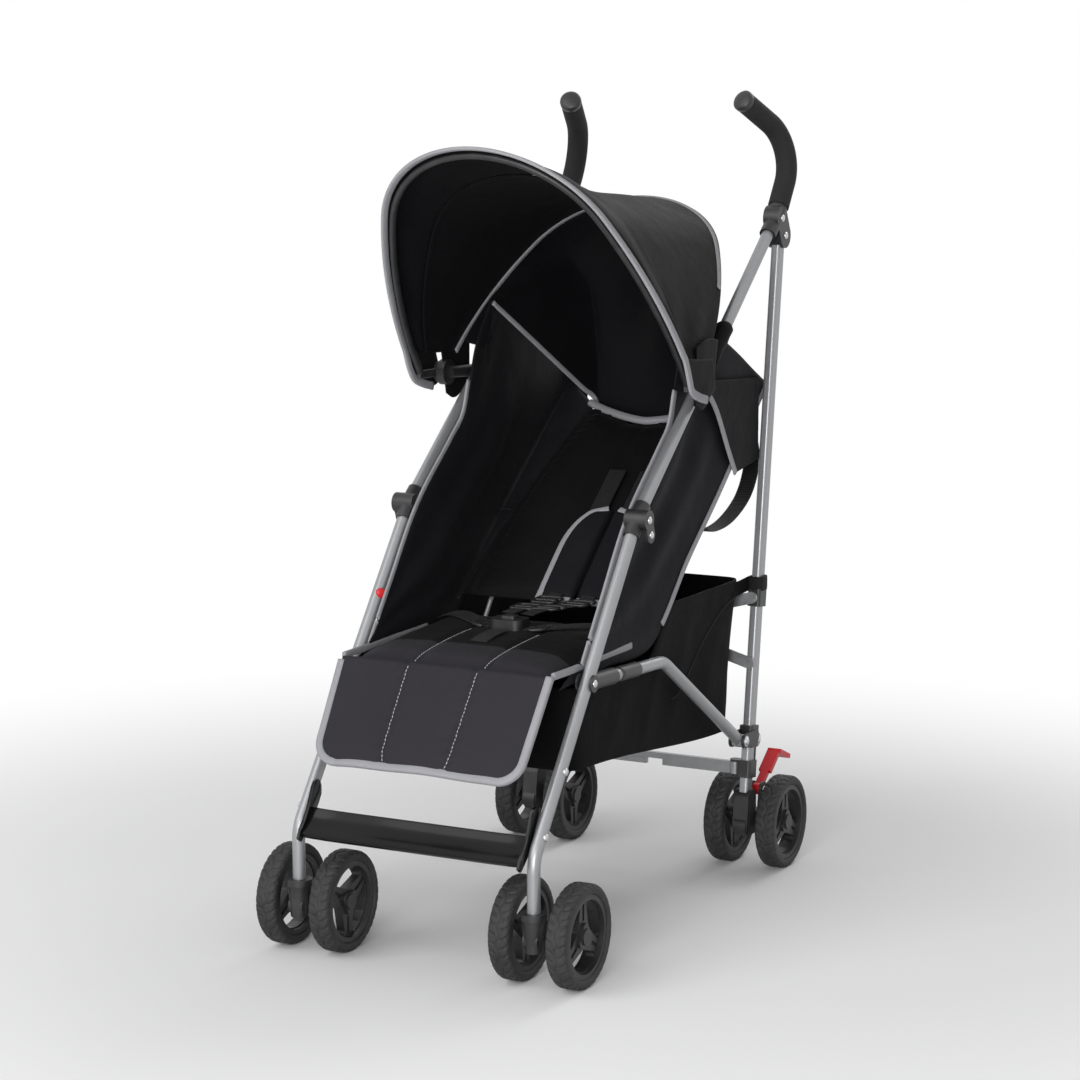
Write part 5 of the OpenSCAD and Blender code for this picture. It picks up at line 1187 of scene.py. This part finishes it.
canopy_cloth = woven("canopy_cloth", (0.0034, 0.0032, 0.0039), (0.0092, 0.0088, 0.0104), drape=3.0)
cloth_u = hem + (1 - 2 * hem) * np.linspace(0, 1, 161)[None]
visor_share = np.linspace(0, 1, 33)[:, None]
visor_v = -lip + (split + lap + lip) * visor_share
casing = 1.6 * np.exp(-((visor_share - 0.16) / 0.03) ** 2)
slack = 2.2 * np.sin(np.pi * visor_share) * np.sin(23.0 * cloth_u + 4.0 * visor_share) ** 2
visor_out = visor_edge - 13.0 * smooth((visor_share - 0.3) / 0.6)
visor_grid = roof_point(visor_v, cloth_u, visor_out - casing - slack)
visor = panel("canopy_visor", visor_grid, canopy_cloth, "canopy_fabric", 1.6)
roof_share = np.linspace(0, 1, 49)[:, None]
roof_v = split + (1 - split) * roof_share
roof_slack = 3.0 * np.sin(np.pi * roof_share) * np.sin(11.0 * cloth_u + 5.0 * roof_share) ** 2
roof_grid = roof_point(roof_v, cloth_u, roof_out - roof_slack)
roof = panel("canopy_roof", roof_grid, canopy_cloth, "canopy_fabric", 1.6)
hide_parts("canopy_front")
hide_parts("canopy_rear")

tab_w = np.linspace(0, 1, 17)[:, None, None]
tab_top = roof_point(np.linspace(-lip, 0.72, 31), 1 - hem - 0.006, 10.6)
tab_foot = even([(201.0, 0, 687), (200.6, 24, 679), (200.4, 52, 673.5), (200.2, 76, 684)], 31)
end_tab = tab_top[None] + (tab_foot - tab_top)[None] * tab_w
end_tab[..., 0] += 1.6 * np.sin(np.pi * tab_w[..., 0])
end_tabs = panel("canopy_end_tabs", paired(end_tab), canopy_cloth, "canopy_fabric", 1.8)
gather(end_tabs, "canopy", *hood_hold)

web_low = even([(182.0, 54, 664), (182.0, 74, 656.5), (181.6, 94, 664), (180.6, 114, 682)], 25)
web_high = even([(187.0, 46, 738), (187.0, 70, 746), (186.0, 94, 748), (184.0, 120, 744)], 25)
hood_web = web_low + (web_high - web_low) * np.linspace(0, 1, 21)[:, None, None]
hood_webs = panel("hood_webs", paired(hood_web), canopy_cloth, "canopy_fabric", 1.8)
gather(hood_webs, "frame", *hood_hold)

edge_u = hem + (1 - 2 * hem) * np.linspace(0, 1, 181)
edge_path = roof_point(-lip, edge_u, visor_edge)
edge_back = roof_point(0.06, edge_u, visor_edge) - edge_path
edge_back = edge_back / np.linalg.norm(edge_back, axis=1, keepdims=True)
edge_tail = np.array([  # a place and, after it, the way across the tape
    (203.0, -7, 703, 0, 0.9, 0.4), (202.0, 4, 687, 0, 0.6, 0.8),
    (201.4, 26, 678.5, 0, 0.3, 0.95), (201.0, 50, 673, 0, 0.1, 1.0)
])
far_tail = edge_tail[::-1] * np.array([-1, 1, 1, 1, 1, 1])
edge_full = even(np.vstack([far_tail, np.hstack([edge_path, edge_back])[::3], edge_tail]), 260)
visor_binding = binding("canopy_front_binding", [edge_full[:, :3]], [edge_full[:, 3:]], 11.0, 4.6,
                        "canopy", *hood_hold)
gather(visor, "canopy", *hood_hold)

inner_path = roof_point(0.972, edge_u, -10.4)
inner_back = roof_point(0.9, edge_u, -10.4) - inner_path
inner_binding = binding("canopy_inner_piping", [inner_path], [inner_back], 8.0, 3.2, "frame", *hood_hold)
hem_path = roof_point(split, edge_u, -8.4)
hem_back = roof_point(split + 0.05, edge_u, -8.4) - hem_path
hem_grid = tape(hem_path, hem_back, 9.0, 2.8)
trim("canopy_hem", hem_grid, canopy_cloth, "canopy_fabric", "frame", *hood_hold)
seam_u = np.linspace(0.2, 0.8, 121)
rear_path = roof_point(0.97, seam_u, -7.0)
rear_back = roof_point(0.90, seam_u, -7.0) - rear_path
rear_piping = binding("canopy_rear_piping", [rear_path], [rear_back], 7.0, 4.0, "frame", *hood_hold)
gather(roof, "frame", *hood_hold)

curtain_knots = np.array([  # (share, half width, y, z) along the lower edge from the middle to the pivot
    (0, 0, 331, 589), (0.46, 84, 331, 589), (0.53, 92, 328, 636), (0.58, 97, 310, 646), (1, 146, 118, 783),
    (1.3, 146, 104, 700)
])
drop, spread = np.linspace(0, 1, 49)[:, None], np.linspace(-1.3, 1.3, 157)[None]
to_side = smooth((np.abs(spread) - 0.55) / 0.45)
knot_share, *knots = curtain_knots.T
low_half, low_y, low_z = (np.interp(np.abs(spread), knot_share, knot) for knot in knots)
curtain_top = roof_point(0.985, 0.5 + 0.33 * spread, roof_out)
low_x = np.sign(spread) * low_half
curtain_folds = 5.0 * np.sin(np.pi * drop) * np.cos(3 * np.pi * spread)
curtain_folds = curtain_folds + 2.0 * np.sin(np.pi * drop) * np.sin(11.0 * spread + 6.0 * drop)
curtain_belly = (34.0 * np.sin(np.pi * drop ** 0.9) + curtain_folds) * (1 - to_side)
curtain_x = curtain_top[..., 0] + (low_x - curtain_top[..., 0]) * smooth(3 * drop)
curtain_x = curtain_x - 0.9 * np.sign(spread) * to_side
curtain_y = curtain_top[..., 1] + (low_y - curtain_top[..., 1]) * drop + curtain_belly - 1.0
curtain_z = curtain_top[..., 2] + (low_z - curtain_top[..., 2]) * drop - 0.8
curtain_grid = np.stack([curtain_x, curtain_y, curtain_z], -1)
curtain = panel("canopy_curtain", curtain_grid, canopy_cloth, "canopy_fabric", 1.6)
bound = np.abs(spread[0]) <= 1.0
curtain_hem = even(curtain_grid[-1, bound][::3], 160)
curtain_up = even(curtain_grid[-6, bound][::3], 160) - curtain_hem
curtain_binding = binding("curtain_binding", [curtain_hem], [curtain_up], 7.0, 4.0, "frame", *hood_hold)
gather(curtain, "frame", *hood_hold)

side_rows, side_out = 33, 156.4
side_front = even([(127, 688), (176, 649), (219, 589), (244, 555)], side_rows)
side_rear = even([(354, 676), (357, 640), (357, 604), (352, 570)], side_rows)
side_q = np.linspace(0, 1, 41)[None, :, None]
side_yz = side_front[:, None] + (side_rear - side_front)[:, None] * side_q
side_x = side_out - 34.0 * smooth((side_yz[..., 0] - 318.0) / 44.0)
side_panel = np.concatenate([side_x[..., None], side_yz], -1)
curtain_sides = panel("curtain_sides", paired(side_panel), canopy_cloth, "canopy_fabric", 1.6)
side_edge = np.column_stack([np.full(side_rows, side_out + 0.6), side_front])
side_in = np.column_stack([np.zeros(side_rows), side_rear - side_front])
curtain_side_piping = binding("curtain_side_piping", paired(side_edge), [side_in, side_in], 9.0, 3.4)
gather(curtain_sides)

push_dir, sleeve_z = np.array([0.0, 0.768284, 0.64011]), 735.0
sleeve_mid = np.array([tube_x, *hinge_at]) + push_dir * ((sleeve_z - hinge_at[1]) / push_dir[2])
sleeve_profile = [
    (9.6, -34), (11.2, -32), (11.8, -20), (11.0, -8), (12.2, 6), (11.4, 20), (11.9, 30), (9.6, 34)
]
sleeve_grid = turned(sleeve_profile, sleeve_mid, push_dir, 32)
on_each_side("canopy_tab", sleeve_grid, canopy_cloth, "canopy_fabric", wrap=True, caps=True)

# Recline strap: a loop of black webbing behind each side of the backrest, from under the curtain round
# to the rear edge of the wing, with spare length hanging.
strap_path = even([
    (128, 318, 604), (130, 352, 590), (131, 358, 552), (131, 330, 512), (132, 270, 486), (134, 205, 480),
    (138, 160, 492), (142, 138, 500)
], 90)
trim("recline_straps", paired(tape(strap_path, outward, 24.0, 2.2)), ribbed, "webbing")
